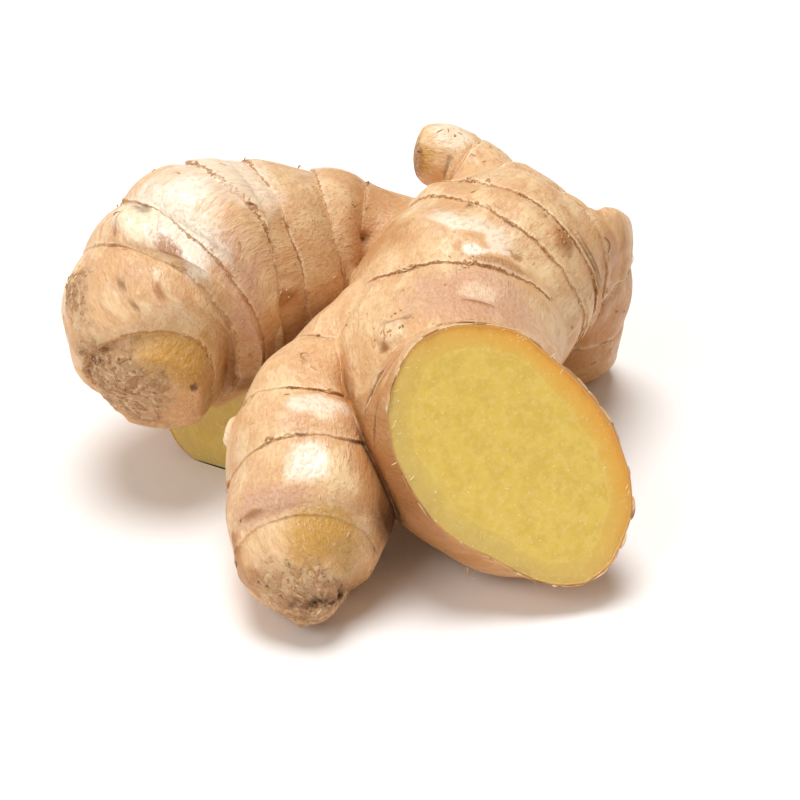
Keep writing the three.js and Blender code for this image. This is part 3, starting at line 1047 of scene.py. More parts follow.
def new_material(name: str) -> tuple[bpy.types.Material, Tree, bpy.types.Node]:
    """A material with an empty glossy-over-diffuse shader, its tree and that shader's node."""
    material = bpy.data.materials.new(name)
    material.use_nodes = True
    tree = material.node_tree
    return material, tree, tree.nodes["Principled BSDF"]


def millimetres(tree: Tree) -> Socket:
    """Adds the nodes that give the object's own places in mm."""
    spot = add(tree, "TexCoord").outputs["Object"]
    return add(tree, "VectorMath", {0: spot, 1: (1000, 1000, 1000)}, operation="MULTIPLY").outputs[0]


def ramp(tree: Tree, value: Socket, low: float, high: float) -> Socket:
    """0 where a value is at low, 1 where it is at high, and a smooth rise between them."""
    span = {"Value": value, "From Min": low, "From Max": high}
    return add(tree, "MapRange", span, interpolation_type="SMOOTHSTEP").outputs[0]


def bumped(tree: Tree, reliefs: list[tuple[Socket, float]]) -> Socket:
    """The normal of a surface with reliefs laid over each other.

    Args:
        tree: the tree.
        reliefs: for each, its height from 0 to 1 and what 1 stands for, in mm.
    """
    normal = None
    for height, depth in reliefs:
        links = {"Height": height, "Strength": 1.0, "Distance": depth * MM}
        if normal:
            links["Normal"] = normal
        normal = add(tree, "Bump", links).outputs[0]
    return normal


def multiplied(tree: Tree, *factors: Socket | float) -> Socket:
    """The product of strengths."""
    product = factors[0]
    for factor in factors[1:]:
        product = add(tree, "Math", {0: product, 1: factor}, operation="MULTIPLY").outputs[0]
    return product


def layered(tree: Tree, ground: str, layers: list[tuple]) -> Socket:
    """Colours laid over each other in order.

    Args:
        tree: the tree.
        ground: the lowest colour, as six hex digits.
        layers: for each, its colour and the strengths whose product says how much it covers.

    Returns:
        The socket of the mixed colour.
    """
    mixed = linear(ground)
    for code, *factors in layers:
        strength = multiplied(tree, *factors)
        mix = add(tree, "Mix", {0: strength, 6: mixed, 7: linear(code)}, data_type="RGBA")
        mixed = mix.outputs[2]
    return mixed


@dataclass(frozen=True)
class PaperySkin:
    """Dry ginger skin: a thin papery cork layer over pale flesh.

    The eye sees a satin tan surface with fine threads along the finger, paler scuffs where
    the cork has rubbed off, thin broken brown lines at the leaf scars with a pale edge that is
    partly torn skin and partly painted highlight, near-white painted highlights, warm painted
    shade in the clefts, creases and underneath, and brown fibrous broken ends.
    """

    tan: str = "DDAF7E"
    cream: str = "F2D6A8"
    bare: str = "FDEACA"
    # Painted near-white highlight.
    painted_highlight: str = "FFF5E4"
    fawn: str = "C48E54"
    mauve: str = "D09E84"
    golden: str = "C4912F"
    # Painted warm shade on undersides.
    amber: str = "D9954A"
    # Painted shade near other lobes, in creases and in the painted-shade patches.
    painted_shade: str = "B4722F"
    bruise: str = "A56A34"
    line: str = "A06A38"
    cork: str = "B48C68"
    pith: str = "E2C497"
    dark: str = "5C3416"
    # Painted deep shade in clefts and chinks.
    painted_deep_shade: str = "4A2811"
    roughness: float = 0.36
    duller_by: float = 0.2
    roughness_where_worn: float = 0.27
    roughness_on_cork: float = 0.8
    line_half: float = 0.2

    def ring_lines(self, tree: Tree, jags: Socket, breaks: Socket) -> tuple[Socket, Socket]:
        """Masks of the thin line at each leaf scar and of the pale edge before it, partly torn skin and
        partly a painted highlight on the lip.

        The line follows the scar, strays from it by up to a quarter millimetre with the
        jags, and is missing where the breaks are low.
        """
        past, gap, wear = (
            add(tree, "Attribute", attribute_name=f"ring_{key}").outputs["Fac"]
            for key in ("side", "gap", "wear")
        )
        moved = add(tree, "Math", {0: jags, 1: 0.5, 2: past}, operation="MULTIPLY_ADD").outputs[0]
        moved = add(tree, "Math", {0: moved, 1: 0.22}, operation="SUBTRACT").outputs[0]
        off = add(tree, "Math", {0: moved}, operation="ABSOLUTE").outputs[0]
        near = ramp(tree, gap, 1.6, 0.9)
        line = multiplied(tree, ramp(tree, off, self.line_half, 0.03), near, breaks, wear)
        # The pale edge is partly torn skin and partly a painted highlight where the lip catches light.
        torn = multiplied(tree, ramp(tree, moved, -0.95, -0.35), ramp(tree, moved, -0.1, -0.3), near, wear)
        return line, torn

    def material(self) -> bpy.types.Material:
        """Makes the material."""
        material, tree, shader = new_material("papery_ginger_skin")
        on = {
            key: add(tree, "Attribute", attribute_name=key).outputs["Fac"]
            for key in ("crease", "chink", "painted_shade", "cleft", "painted_underside_shade", "seam", *(b.value for b in Blemish))
        }
        place = add(tree, "Attribute", attribute_name="lobe_place").outputs["Vector"]
        space = millimetres(tree)
        clouds = Grain(13, detail=2).paint(tree, space)
        off_seam = add(tree, "Math", {0: 1.0, 1: on["seam"]}, operation="SUBTRACT").outputs[0]
        mottle, threads, cords, fine, flecks, scuffs = (
            multiplied(tree, grain.paint(tree, place), off_seam)
            for grain in (
                Grain(2.6, 1.7, 0.4, 0.66, 4, seed=1),
                Grain(0.3, 11, 0.38, 0.64, 2, seed=2),
                Grain(0.9, 7, 0.42, 0.66, 2, seed=9),
                Grain(0.8, 1.3, 0.46, 0.66, 5, seed=3),
                Grain(0.5, 1.8, 0.6, 0.7, 3, seed=12),
                Grain(4.6, 1.5, 0.54, 0.6, 6, seed=4),
            )
        )
        veil = Grain(7, 1.2, 0.5, 0.64, 5, seed=10).paint(tree, space)
        specks = Grain(0.9, 1.0, 0.72, 0.78, 2, seed=5).paint(tree, space)
        jags = Grain(0.9, 1.0, 0.2, 0.8, 4, seed=7).paint(tree, space)
        breaks = Grain(2.6, 1.0, 0.3, 0.46, 3, seed=11).paint(tree, space)
        cragged = Grain(1.6, 1.0, 0.5, 0.62, 6, seed=8).paint(tree, space)
        pits = Grain(1.3, 1.0, 0.62, 0.7, 7, seed=13).paint(tree, space)
        line, torn = self.ring_lines(tree, jags, breaks)

        ground = layered(
            tree,
            self.tan,
            [
                (self.cream, clouds, 0.6),
                (self.mauve, veil, 0.32),
                (self.fawn, mottle, 0.34),
                (self.cream, scuffs, 0.5),
                # Painted warm shade on the underside.
                (self.amber, on["painted_underside_shade"], 0.6),
                (self.mauve, on["blush"], 0.7),
                # Painted near-white highlight where the skin is less rough.
                (self.painted_highlight, on["gloss_and_painted_highlight"], 0.92),
                (self.bare, on["pale"], 0.85),
                (self.golden, on["golden"], 0.85),
                (self.fawn, cords, 0.12),
                (self.bare, threads, 0.13),
                (self.fawn, fine, 0.24),
                (self.bare, flecks, 0.28),
                # Painted shade: near other lobes, in the painted-shade patches, in creases, darkest in clefts
                # and chinks.
                (self.painted_shade, on["painted_shade"], 0.42),
                (self.painted_shade, on["painted_shade_patch"], 0.62),
                (self.painted_shade, on["crease"], 0.75),
                (self.painted_deep_shade, on["cleft"], 0.55),
                (self.painted_deep_shade, on["chink"], 0.9),
                (self.bruise, on["bruise"], 0.8),
                # Pale edge before each ring: partly torn skin, partly painted highlight.
                (self.bare, torn, 0.4),
                (self.bruise, specks, 0.7),
                (self.cork, on["scar"], 0.85),
                (self.pith, on["scar"], fine, 0.75),
                (self.bruise, on["scar"], cragged, 0.6),
                (self.dark, on["scar"], pits, 0.6),
                (self.dark, on["bruise"], pits, 0.7),
                (self.dark, on["earth"], 0.85),
                (self.line, line, 0.95),
            ],
        )

        rough = add(tree, "Math", {0: mottle, 1: self.duller_by, 2: self.roughness}, operation="MULTIPLY_ADD")
        for where, value in (
            (on["gloss_and_painted_highlight"], self.roughness_where_worn),
            (on["golden"], self.roughness_where_worn),
            (on["scar"], self.roughness_on_cork),
        ):
            rough = add(tree, "Mix", {0: where, 2: rough.outputs[0], 3: value})
        crumbs = multiplied(tree, pits, on["scar"])
        flakes = multiplied(tree, cragged, on["scar"])
        normal = bumped(
            tree,
            [(threads, 0.022), (cords, 0.03), (fine, 0.08), (scuffs, 0.06), (flakes, 0.25), (crumbs, -0.3)],
        )
        look = {
            "Base Color": ground,
            "Roughness": rough.outputs[0],
            "Subsurface Weight": 0.12,
            "Subsurface Radius": (1.0, 0.45, 0.2),
            "Subsurface Scale": 0.003,
            "Normal": normal,
        }
        feed(tree, shader, look)
        return material


@dataclass(frozen=True)
class MoistFlesh:
    """Fresh cut ginger flesh: firm, fibrous and wet with its own juice.

    The eye sees mottled yellow with a soft wet sheen, a deeper orange outer layer divided
    from the core by a thin ring, the pale ends of cut fibres and a thin brown edge of skin.
    """

    yellow: str = "E9CA5C"
    lemon: str = "F2DC84"
    honey: str = "D3A93C"
    orange: str = "EDB048"
    amber: str = "DC9240"
    green: str = "D0B670"
    fibre: str = "FBF3C4"
    skin: str = "C08B55"
    skin_width: float = 0.36
    layer_depth: float = 6.4
    ring_depth: float = 4.6
    ring_width: float = 0.6
    roughness: float = 0.42

    def material(self) -> bpy.types.Material:
        """Makes the material."""
        material, tree, shader = new_material("moist_ginger_flesh")
        rim = add(tree, "Attribute", attribute_name="rim").outputs["Fac"]
        warmth = add(tree, "Attribute", attribute_name="warmth").outputs["Fac"]
        space = millimetres(tree)
        blots = Grain(3.4, detail=5, low=0.42, high=0.62, seed=11).paint(tree, space)
        light = Grain(1.3, detail=5, low=0.44, high=0.66, seed=15).paint(tree, space)
        pulp = Grain(0.9, detail=4, low=0.35, high=0.7, seed=12).paint(tree, space)
        waver = Grain(6.0, detail=3, low=0.2, high=0.8, seed=13).paint(tree, space)
        dots = Grain(0.55, detail=2, low=0.64, high=0.72, seed=14).paint(tree, space)
        oozing = Grain(1.1, detail=3, low=0.62, high=0.72, seed=16).paint(tree, space)
        depth = add(tree, "Math", {0: waver, 1: -0.9, 2: rim}, operation="MULTIPLY_ADD").outputs[0]
        outer = ramp(tree, depth, self.layer_depth, 1.2)
        rind = ramp(tree, depth, 1.8, -1.0)
        off_ring = add(tree, "Math", {0: depth, 1: self.ring_depth}, operation="SUBTRACT").outputs[0]
        off_ring = add(tree, "Math", {0: off_ring}, operation="ABSOLUTE").outputs[0]
        ring = ramp(tree, off_ring, self.ring_width, 0.0)
        beside = ramp(tree, off_ring, 2.6, 0.0)
        edge = ramp(tree, rim, self.skin_width + 0.1, self.skin_width - 0.1)
        cool = add(tree, "Math", {0: 1.0, 1: warmth}, operation="SUBTRACT").outputs[0]
        ground = layered(
            tree,
            self.yellow,
            [
                (self.honey, blots, 0.3),
                (self.lemon, light, 0.36),
                (self.lemon, pulp, 0.16),
                (self.orange, outer, warmth, 0.85),
                (self.amber, rind, warmth, 0.65),
                (self.green, outer, cool, 0.55),
                (self.lemon, ring, 0.22),
                (self.lemon, oozing, beside, 0.5),
                (self.fibre, dots, 0.4),
                (self.skin, edge),
            ],
        )
        look = {
            "Base Color": ground,
            "Roughness": self.roughness,
            "Coat Weight": 0.25,
            "Coat Roughness": 0.22,
            "Subsurface Weight": 0.3,
            "Subsurface Radius": (1.0, 0.7, 0.25),
            "Subsurface Scale": 0.004,
            "Normal": bumped(tree, [(pulp, 0.06), (light, 0.03), (dots, 0.04), (oozing, 0.06)]),
        }
        feed(tree, shader, look)
        return material


@dataclass
class Rhizome:
    """The whole hand of ginger as one closed surface.

    Attributes:
        skin: finish of the outside.
        flesh: finish of the cut faces.
    """

    skin: PaperySkin = PaperySkin()
    flesh: MoistFlesh = MoistFlesh()

    def build(self) -> bpy.types.Object:
        """Makes the surface, smooths its creases, rests it on the table and dresses it."""
        mesh = self.joined()
        self.fill_new_points(mesh)
        self.soften(mesh)
        self.rest(mesh)
        self.dress(mesh)
        mesh.name = "ginger_rhizome_skin"
        return linked(mesh)

    def joined(self) -> bpy.types.Mesh:
        """The lobes joined by one Boolean union, with each face's lobe kept as a number."""
        lobes = []
        for number, lobe in enumerate(LOBES):
            points, faces, fields = lobe.surface(kin_of(lobe), strangers_of(lobe))
            mesh = make_mesh(lobe.name, points + ORIGIN, faces, {**fields, "born": np.ones(len(points))})
            owner = mesh.attributes.new("lobe", "INT", "FACE")
            owner.data.foreach_set("value", np.full(len(mesh.polygons), number, np.int32))
            lobes.append(bpy.data.objects.new(lobe.name, mesh))
            log.info("lobe %s: %.1f mm long, %d faces", lobe.name, lobe.total, len(mesh.polygons))
        first, rest = lobes[0], bpy.data.collections.new("lobes_to_join")
        bpy.context.scene.collection.objects.link(first)
        bpy.context.scene.collection.children.link(rest)
        for lobe in lobes[1:]:
            rest.objects.link(lobe)
        join = first.modifiers.new("join", "BOOLEAN")
        join.operation = "UNION"
        join.operand_type = "COLLECTION"
        join.collection = rest
        join.solver = "MANIFOLD"
        graph = bpy.context.evaluated_depsgraph_get()
        mesh = bpy.data.meshes.new_from_object(first.evaluated_get(graph))
        for lobe in lobes:
            bpy.data.objects.remove(lobe)
        bpy.data.collections.remove(rest)
        return mesh

    @staticmethod
    def edges(mesh: bpy.types.Mesh) -> tuple[Array, Array]:
        """The two ends of every edge, each edge once in both directions."""
        first, second = read(mesh.edges, "vertices", 2).T
        return np.concatenate([first, second]), np.concatenate([second, first])

    def fill_new_points(self, mesh: bpy.types.Mesh) -> None:
        """Gives the points that the join made on its seams the mean values of their neighbours."""
        one, other = self.edges(mesh)
        count = len(mesh.vertices)
        keys = [a.name for a in mesh.attributes if a.domain == "POINT" and a.data_type.startswith("FLOAT")]
        keys = [key for key in keys if key not in ("position", "born")]
        known = get_field(mesh, "born") > 0.999
        values = {key: get_field(mesh, key).astype(float).reshape(count, -1) for key in keys}
        for _ in range(FILL_ROUNDS):
            usable = known[other]
            weight = np.bincount(one, weights=usable, minlength=count)
            fill = ~known & (weight > 0)
            for table in values.values():
                for k in range(table.shape[1]):
                    total = np.bincount(one, weights=table[other, k] * usable, minlength=count)
                    table[fill, k] = total[fill] / weight[fill]
            known |= fill
        for key, table in values.items():
            set_field(mesh, key, table if table.shape[1] == 3 else table[:, 0])

    @staticmethod
    def lobes_met(mesh: bpy.types.Mesh) -> tuple[Array, Array]:
        """The lowest and the highest number of the lobes whose faces meet at each point."""
        corners = read(mesh.loops, "vertex_index")
        owner = read(mesh.attributes["lobe"].data, "value")
        owner = np.repeat(owner, read(mesh.polygons, "loop_total"))
        lowest = np.full(len(mesh.vertices), len(LOBES))
        highest = np.full(len(mesh.vertices), -1)
        np.minimum.at(lowest, corners, owner)
        np.maximum.at(highest, corners, owner)
        return lowest, highest

    @staticmethod
    def away_from(start: Array, one: Array, other: Array, lengths: Array) -> Array:
        """How far each point is from the nearest of some points, along a few edges, in mm."""
        away = np.where(start, 0.0, FAR)
        for _ in range(EDGES_FOLLOWED):
            np.minimum.at(away, one, away[other] + lengths)
        return away

    def soften(self, mesh: bpy.types.Mesh) -> None:
        """Rounds the creases between lobes.

        Points near a seam move again and again towards the mean of their neighbours, the
        less the further they are from it. A valley between lobes that grew from each other
        is rounded more widely than a crease between two that only press on each other. How
        near such a crease is is kept as the value crease, from 1 in it to 0, and as the value
        chink where it lies deep between the lobes; the skin paints shade from both. The painted
        shade near other lobes is kept only low down. The value seam is 1 at every seam.
        """
        one, other = self.edges(mesh)
        count = len(mesh.vertices)
        lowest, highest = self.lobes_met(mesh)
        place = get_field(mesh, "position").astype(float) / MM
        lengths = np.linalg.norm(place[one] - place[other], axis=1)
        grown = np.array([[any(a is b for b in kin_of(lobe)) for a in LOBES] for lobe in LOBES])
        seam = lowest != highest
        valley = seam & (grown[lowest, highest] | (place[:, 2] > GROWN_ABOVE))
        beside = np.bincount(one, weights=seam[other], minlength=count) > 0
        from_valley = self.away_from(valley, one, other, lengths)
        from_crease = self.away_from(seam & ~valley, one, other, lengths)
        strength = np.maximum(
            smooth_step(VALLEY_WIDTH, 0.0, from_valley), smooth_step(CREASE_WIDTH, 0.0, from_crease)
        )
        links = np.bincount(one, minlength=count)
        for _ in range(SEAM_PASSES):
            sums = [np.bincount(one, weights=place[other, k], minlength=count) for k in range(3)]
            mean = np.stack(sums, -1) / links[:, None]
            place += SEAM_STEP * strength[:, None] * (mean - place)
        mesh.vertices.foreach_set("co", (place * MM).astype(np.float32).ravel())
        set_field(mesh, "seam", (seam | beside).astype(float))
        set_field(mesh, "crease", smooth_step(CREASE_SHADE_WIDTH, 0.0, from_crease))
        deep = smooth_step(*DARK_BELOW, place[:, 2])
        set_field(mesh, "chink", smooth_step(*CHINK_LIMITS, from_crease) * deep)
        low = smooth_step(*SHADE_BELOW, place[:, 2])
        set_field(mesh, "painted_shade", get_field(mesh, "painted_shade") * low)

    @staticmethod
    def rest(mesh: bpy.types.Mesh) -> None:
        """Flattens what would lie below the table onto it."""
        place = get_field(mesh, "position").astype(float)
        place[:, 2] = np.maximum(place[:, 2], 0)
        mesh.vertices.foreach_set("co", place.astype(np.float32).ravel())

    def dress(self, mesh: bpy.types.Mesh) -> None:
        """Gives the cut faces their flesh and the rest its skin."""
        place = get_field(mesh, "position") / MM
        centre = np.array(CUT_FINGER.cut.at) + ORIGIN
        warmth = smooth_step(*WARM_LIMITS, (place - centre) @ unit(np.array(WARM_WAY)))
        set_field(mesh, "warmth", warmth)
        # Masks of painted shade: on the underside, and in clefts and tight clefts near other lobes.
        rising = read(mesh.vertex_normals, "vector", 3, np.float32)[:, 2]
        set_field(mesh, "painted_underside_shade", smooth_step(*UNDERSIDE_SHADE_LIMITS, rising))
        painted_shade = get_field(mesh, "painted_shade")
        cleft, tight = (
            smooth_step(*near, painted_shade) * smooth_step(*under, rising)
            for near, under in (CLEFT_LIMITS, TIGHT_LIMITS)
        )
        set_field(mesh, "cleft", cleft)
        set_field(mesh, "chink", np.maximum(get_field(mesh, "chink"), tight))
        mesh.materials.clear()
        mesh.materials.append(self.skin.material())
        mesh.materials.append(self.flesh.material())
        rim = get_field(mesh, "rim")
        corners, starts = read(mesh.loops, "vertex_index"), read(mesh.polygons, "loop_start")
        on_face = np.minimum.reduceat(rim[corners], starts) > 0
        mesh.polygons.foreach_set("material_index", on_face.astype(np.int32))
        for key in ("born", "lobe"):
            mesh.attributes.remove(mesh.attributes[key])


@dataclass(frozen=True)
class DryShreds:
    """Thin torn shreds of cork skin and dry rootlets.

    The eye sees matt flakes, pale where they are fresh and brown where they are old.
    """

    pale: str = "F0D6AC"
    tan: str = "CF9D66"
    brown: str = "8F5C30"
    roughness: float = 0.6

    def material(self) -> bpy.types.Material:
        """Makes the material."""
        material, tree, shader = new_material("dry_ginger_shreds")
        space = millimetres(tree)
        patches = Grain(6, low=0.44, high=0.6, seed=21).paint(tree, space)
        fine = Grain(0.6, low=0.4, high=0.65, seed=22).paint(tree, space)
        old = Grain(4, low=0.55, high=0.66, seed=23).paint(tree, space)
        layers = [(self.pale, patches, 0.8), (self.tan, fine, 0.35), (self.brown, old, 0.8)]
        ground, normal = layered(tree, self.tan, layers), bumped(tree, [(fine, 0.05)])
        feed(tree, shader, {"Base Color": ground, "Roughness": self.roughness, "Normal": normal})
        return material


@dataclass(frozen=True)
class CutFibres:
    """The ends of fibres that a knife pulled out of the flesh.

    The eye sees short, pale, moist hairs.
    """

    pale: str = "FFF6D2"
    straw: str = "EBD58A"
    roughness: float = 0.4

    def material(self) -> bpy.types.Material:
        """Makes the material."""
        material, tree, shader = new_material("moist_ginger_fibre")
        fine = Grain(0.8, low=0.4, high=0.65, seed=24).paint(tree, millimetres(tree))
        ground = layered(tree, self.pale, [(self.straw, fine, 0.8)])
        feed(tree, shader, {"Base Color": ground, "Roughness": self.roughness})
        return material


@dataclass
class Shreds:
    """Torn skin, crumbs and rootlets on the skin.

    Attributes:
        per_ring: flakes for each 10 mm of a ring.
        flake_length: shortest and longest flake, in mm.
        flake_half: least and greatest half width of a flake, in mm.
        flake_thick: its least and greatest half thickness.
        crumb_half: the same for the width of a crumb.
        crumb_thick: the same for its thickness.
        flap_half: the same for the width of a flap.
        flap_thick: the same for its thickness.
        loose: small flakes on each lobe.
        on_rim: flaps along the edge of the cut face.
        crumbs: for each heap, its lobe, distance along it, angle round it, radius and count.
        rootlets: for each, its lobe, distance along it, angle round it and length.
        finish: finish of all of them.
        seed: picks the random draws.
    """

    per_ring: float = 2.2
    flake_length: Pair = (1.2, 5.0)
    flake_half: Pair = (0.12, 0.28)
    flake_thick: Pair = (0.03, 0.06)
    crumb_half: Pair = (0.1, 0.26)
    crumb_thick: Pair = (0.08, 0.2)
    flap_half: Pair = (0.15, 0.4)
    flap_thick: Pair = (0.05, 0.09)
    loose: int = 46
    on_rim: int = 34
    crumbs: tuple[tuple[Lobe, float, float, float, int], ...] = (
        (CUT_FINGER, 42.0, 88, 5.0, 16),
        (LEFT_FINGER, 73.8, 36, 4.0, 22),
        (LEFT_FINGER, 83.5, 20, 5.0, 14),
        (FRONT_FINGER, 83.0, 30, 5.0, 14),
        (CENTRAL_BODY, 21.0, 138, 3.0, 10),
        (CUT_FINGER, 24.0, 128, 4.0, 12),
        (LEFT_FINGER, 15.4, 172, 3.5, 16),
        (LEFT_FINGER, 42.0, 170, 2.4, 12),
    )
    rootlets: tuple[tuple[Lobe, float, float, float], ...] = (
        (LEFT_FINGER, 37.5, 66, 1.3),
        (LEFT_FINGER, 25.5, 62, 1.0),
        (LEFT_FINGER, 57.7, 46, 0.8),
        (LEFT_FINGER, 36.0, 206, 1.6),
        (LEFT_FINGER, 48.0, 240, 3.0),
        (FRONT_FINGER, 36.1, 88, 2.6),
        (FRONT_FINGER, 48.0, 12, 3.4),
        (FRONT_FINGER, 86.5, 60, 2.2),
        (CENTRAL_BODY, 20.5, 138, 2.6),
        (CENTRAL_BODY, 26.2, 86, 1.6),
        (CUT_FINGER, 43.5, 84, 3.0),
        (CUT_FINGER, 60.0, 330, 3.0),
        (BACK_FINGER, 33.0, 20, 2.0),
        (RIGHT_LOBE, 30.0, 40, 4.0),
        (RIGHT_LOBE, 16.0, 300, 3.0),
        (UNDER_STUB, 36.0, 200, 3.0),
    )
    finish: DryShreds = DryShreds()
    seed: int = 5

    def ring_flakes(self, rng: np.random.Generator) -> list[tuple[Array, Array, Array]]:
        """Flakes of old skin that stand up along the rings.

        Each follows its ring at a random place, bowed a little along the lobe, and its
        middle is lifted by half a sine wave. Its width leans out of the skin.
        """
        found = []
        share = np.linspace(-0.5, 0.5, FLAKE_POINTS)
        for lobe in LOBES:
            for (ring, *_), show in zip(lobe.rings, lobe.shows):
                radius = float(lobe.sampled(lobe.radii, np.array(ring)).mean())
                count = int(2 * math.pi * radius / 10 * self.per_ring * show)
                length = rng.uniform(*self.flake_length, count) * rng.uniform(0.4, 1, count)
                middle = rng.uniform(0, 2 * math.pi, count)
                angle = middle[:, None] + share * (length / radius)[:, None]
                bow = rng.uniform(-0.5, 0.5, count)[:, None] * np.cos(math.pi * share)
                distance = ring - rng.uniform(0.0, 0.5, count)[:, None] + bow
                lift = rng.uniform(0.0, 0.45, count)[:, None] * np.cos(math.pi * share)
                lean = rng.uniform(0.0, 0.9, count)
                found.append(self.laid(lobe, rng, distance, angle, lift, lean))
        return found

    @staticmethod
    def strokes(at: Array, middle: Array, length: Array, turn: Array, radius: float) -> tuple[Array, Array]:
        """Distances and angles of short straight strokes on a lobe.

        Args:
            at: where the middle of each lies along the lobe, in mm.
            middle: its angle round the lobe, in radians.
            length: its length, in mm.
            turn: its turn from the way round the lobe, in radians.
            radius: the lobe's radius there, in mm.

        Returns:
            Distances and angles, strokes by points.
        """
        share = np.linspace(-0.5, 0.5, STROKE_POINTS)
        distance = at[:, None] + share * (length * np.sin(turn))[:, None]
        return distance, middle[:, None] + share * (length * np.cos(turn) / radius)[:, None]

    def loose_flakes(self, rng: np.random.Generator) -> list[tuple[Array, Array, Array]]:
        """Small flakes strewn over the skin, in any direction."""
        found = []
        bow = np.cos(math.pi * np.linspace(-0.5, 0.5, STROKE_POINTS))
        for lobe in LOBES:
            count = self.loose
            length = rng.uniform(0.4, 1.9, count)
            turn = rng.uniform(0, math.pi, count)
            middle = rng.uniform(0, 2 * math.pi, count)
            at = rng.uniform(8, lobe.total - 4, count)
            distance, angle = self.strokes(at, middle, length, turn, float(lobe.radii.mean()))
            lift = rng.uniform(0.0, 0.2, count)[:, None] * bow
            found.append(self.laid(lobe, rng, distance, angle, lift, rng.uniform(0, 0.6, count)))
        return found

    def crumb_heaps(self, rng: np.random.Generator) -> list[tuple[Array, Array, Array]]:
        """Crumbs of broken cork round buds and in the scars, denser towards the middle."""
        found = []
        for lobe, heart, degrees, spread, count in self.crumbs:
            radius = float(lobe.sampled(lobe.radii, np.array(heart)).mean())
            away = spread * rng.uniform(0.1, 1, count)
            heading = rng.uniform(0, 2 * math.pi, count)
            length = rng.uniform(0.4, 1.0, count)
            turn = rng.uniform(0, math.pi, count)
            middle = math.radians(degrees) + away * np.cos(heading) / radius
            at = np.clip(heart + away * np.sin(heading), 2, lobe.total - 0.4)
            distance, angle = self.strokes(at, middle, length, turn, radius)
            lean = rng.uniform(0, 1.2, count)
            path, upper, _ = self.laid(lobe, rng, distance, angle, 0.05 + 0 * angle, lean)
            found.append((path, upper, half_sizes(rng, len(path), self.crumb_half, self.crumb_thick)))
        return found

    def laid(
        self, lobe: Lobe, rng: np.random.Generator, distance: Array, angle: Array, lift: Array, lean: Array
    ) -> tuple[Array, Array, Array]:
        """Strips laid on a lobe's skin, without those that another lobe or the table hides.

        Args:
            lobe: the lobe.
            rng: the random draws.
            distance: along the lobe, strips by points.
            angle: round it, in radians.
            lift: height over the skin, in mm.
            lean: how far each strip's width leans out of the skin, in radians.

        Returns:
            Paths, upper directions and half sizes of the strips.
        """
        place, outward = lobe.skin(distance, angle, kin_of(lobe))
        path = place + outward * (0.02 + lift)[..., None]
        across = unit(np.cross(np.gradient(path, axis=1), outward))
        upper = outward * np.cos(lean)[:, None, None] + across * np.sin(lean)[:, None, None]
        half = half_sizes(rng, len(path), self.flake_half, self.flake_thick)
        seen = lobe.exposed(place).all(axis=1)
        return path[seen], upper[seen], half[seen]

    def rim_flaps(self, rng: np.random.Generator) -> list[tuple[Array, Array, Array]]:
        """Ragged skin along the edge of the cut face, raised out of it by half a sine wave."""
        lobe, count = CUT_FINGER, self.on_rim
        radius = float(lobe.radii[-1].mean())
        share = np.linspace(-0.5, 0.5, FLAKE_POINTS)
        length = rng.uniform(1.0, 4.5, count)
        angle = rng.uniform(0, 2 * math.pi, count)[:, None] + share * (length / radius)[:, None]
        end = lobe.cut_end(angle.ravel(), kin_of(lobe)).reshape(angle.shape)
        place, outward = lobe.skin(end, angle, kin_of(lobe))
        rise = rng.uniform(0.1, 0.5, count)[:, None, None] * np.cos(math.pi * share)[:, None]
        path = place + lobe.cut.normal * rise + outward * 0.1
        upper = unit(outward + lobe.cut.normal * rng.normal(size=(count, 1, 1)))
        return [(path, upper, half_sizes(rng, count, self.flap_half, self.flap_thick))]

    def rootlet_strands(self, rng: np.random.Generator) -> list[tuple[Array, Array, Array]]:
        """Dry rootlets: short bristles that leave the skin and bend over as a quarter sine."""
        found = []
        share = np.linspace(0, 1, ROOTLET_POINTS)[None, :, None]
        for lobe, at, degrees, length in self.rootlets:
            place, outward = lobe.skin(np.array([[at]]), np.array([[math.radians(degrees)]]), kin_of(lobe))
            sideways = unit(np.cross(outward, rng.normal(size=3)))
            path = place + length * (
                outward * np.sin(share * 1.4) * 0.6 + sideways * (1 - np.cos(share * 1.4)) * 0.9
            )
            upper = np.broadcast_to(np.cross(outward, sideways), path.shape)
            found.append((path, upper, rng.uniform(0.13, 0.22, (1, 1)) * np.array([[1.0, 0.8]])))
        return found

    def build(self) -> list[bpy.types.Object]:
        """Makes the torn skin and the rootlets, one object for each and for each count of points."""
        rng = np.random.default_rng(self.seed)
        finish = self.finish.material()
        torn = self.ring_flakes(rng) + self.loose_flakes(rng) + self.crumb_heaps(rng) + self.rim_flaps(rng)
        by_points: dict[int, list] = {}
        for strips in torn:
            by_points.setdefault(strips[0].shape[1], []).append(strips)
        groups = {f"ginger_torn_skin_{points}": alike for points, alike in by_points.items()}
        groups["ginger_rootlets"] = self.rootlet_strands(rng)
        pieces = []
        for name, alike in groups.items():
            mesh = strand_mesh(name, *(np.concatenate(part) for part in zip(*alike)))
            mesh.materials.append(finish)
            pieces.append(linked(mesh))
        return pieces


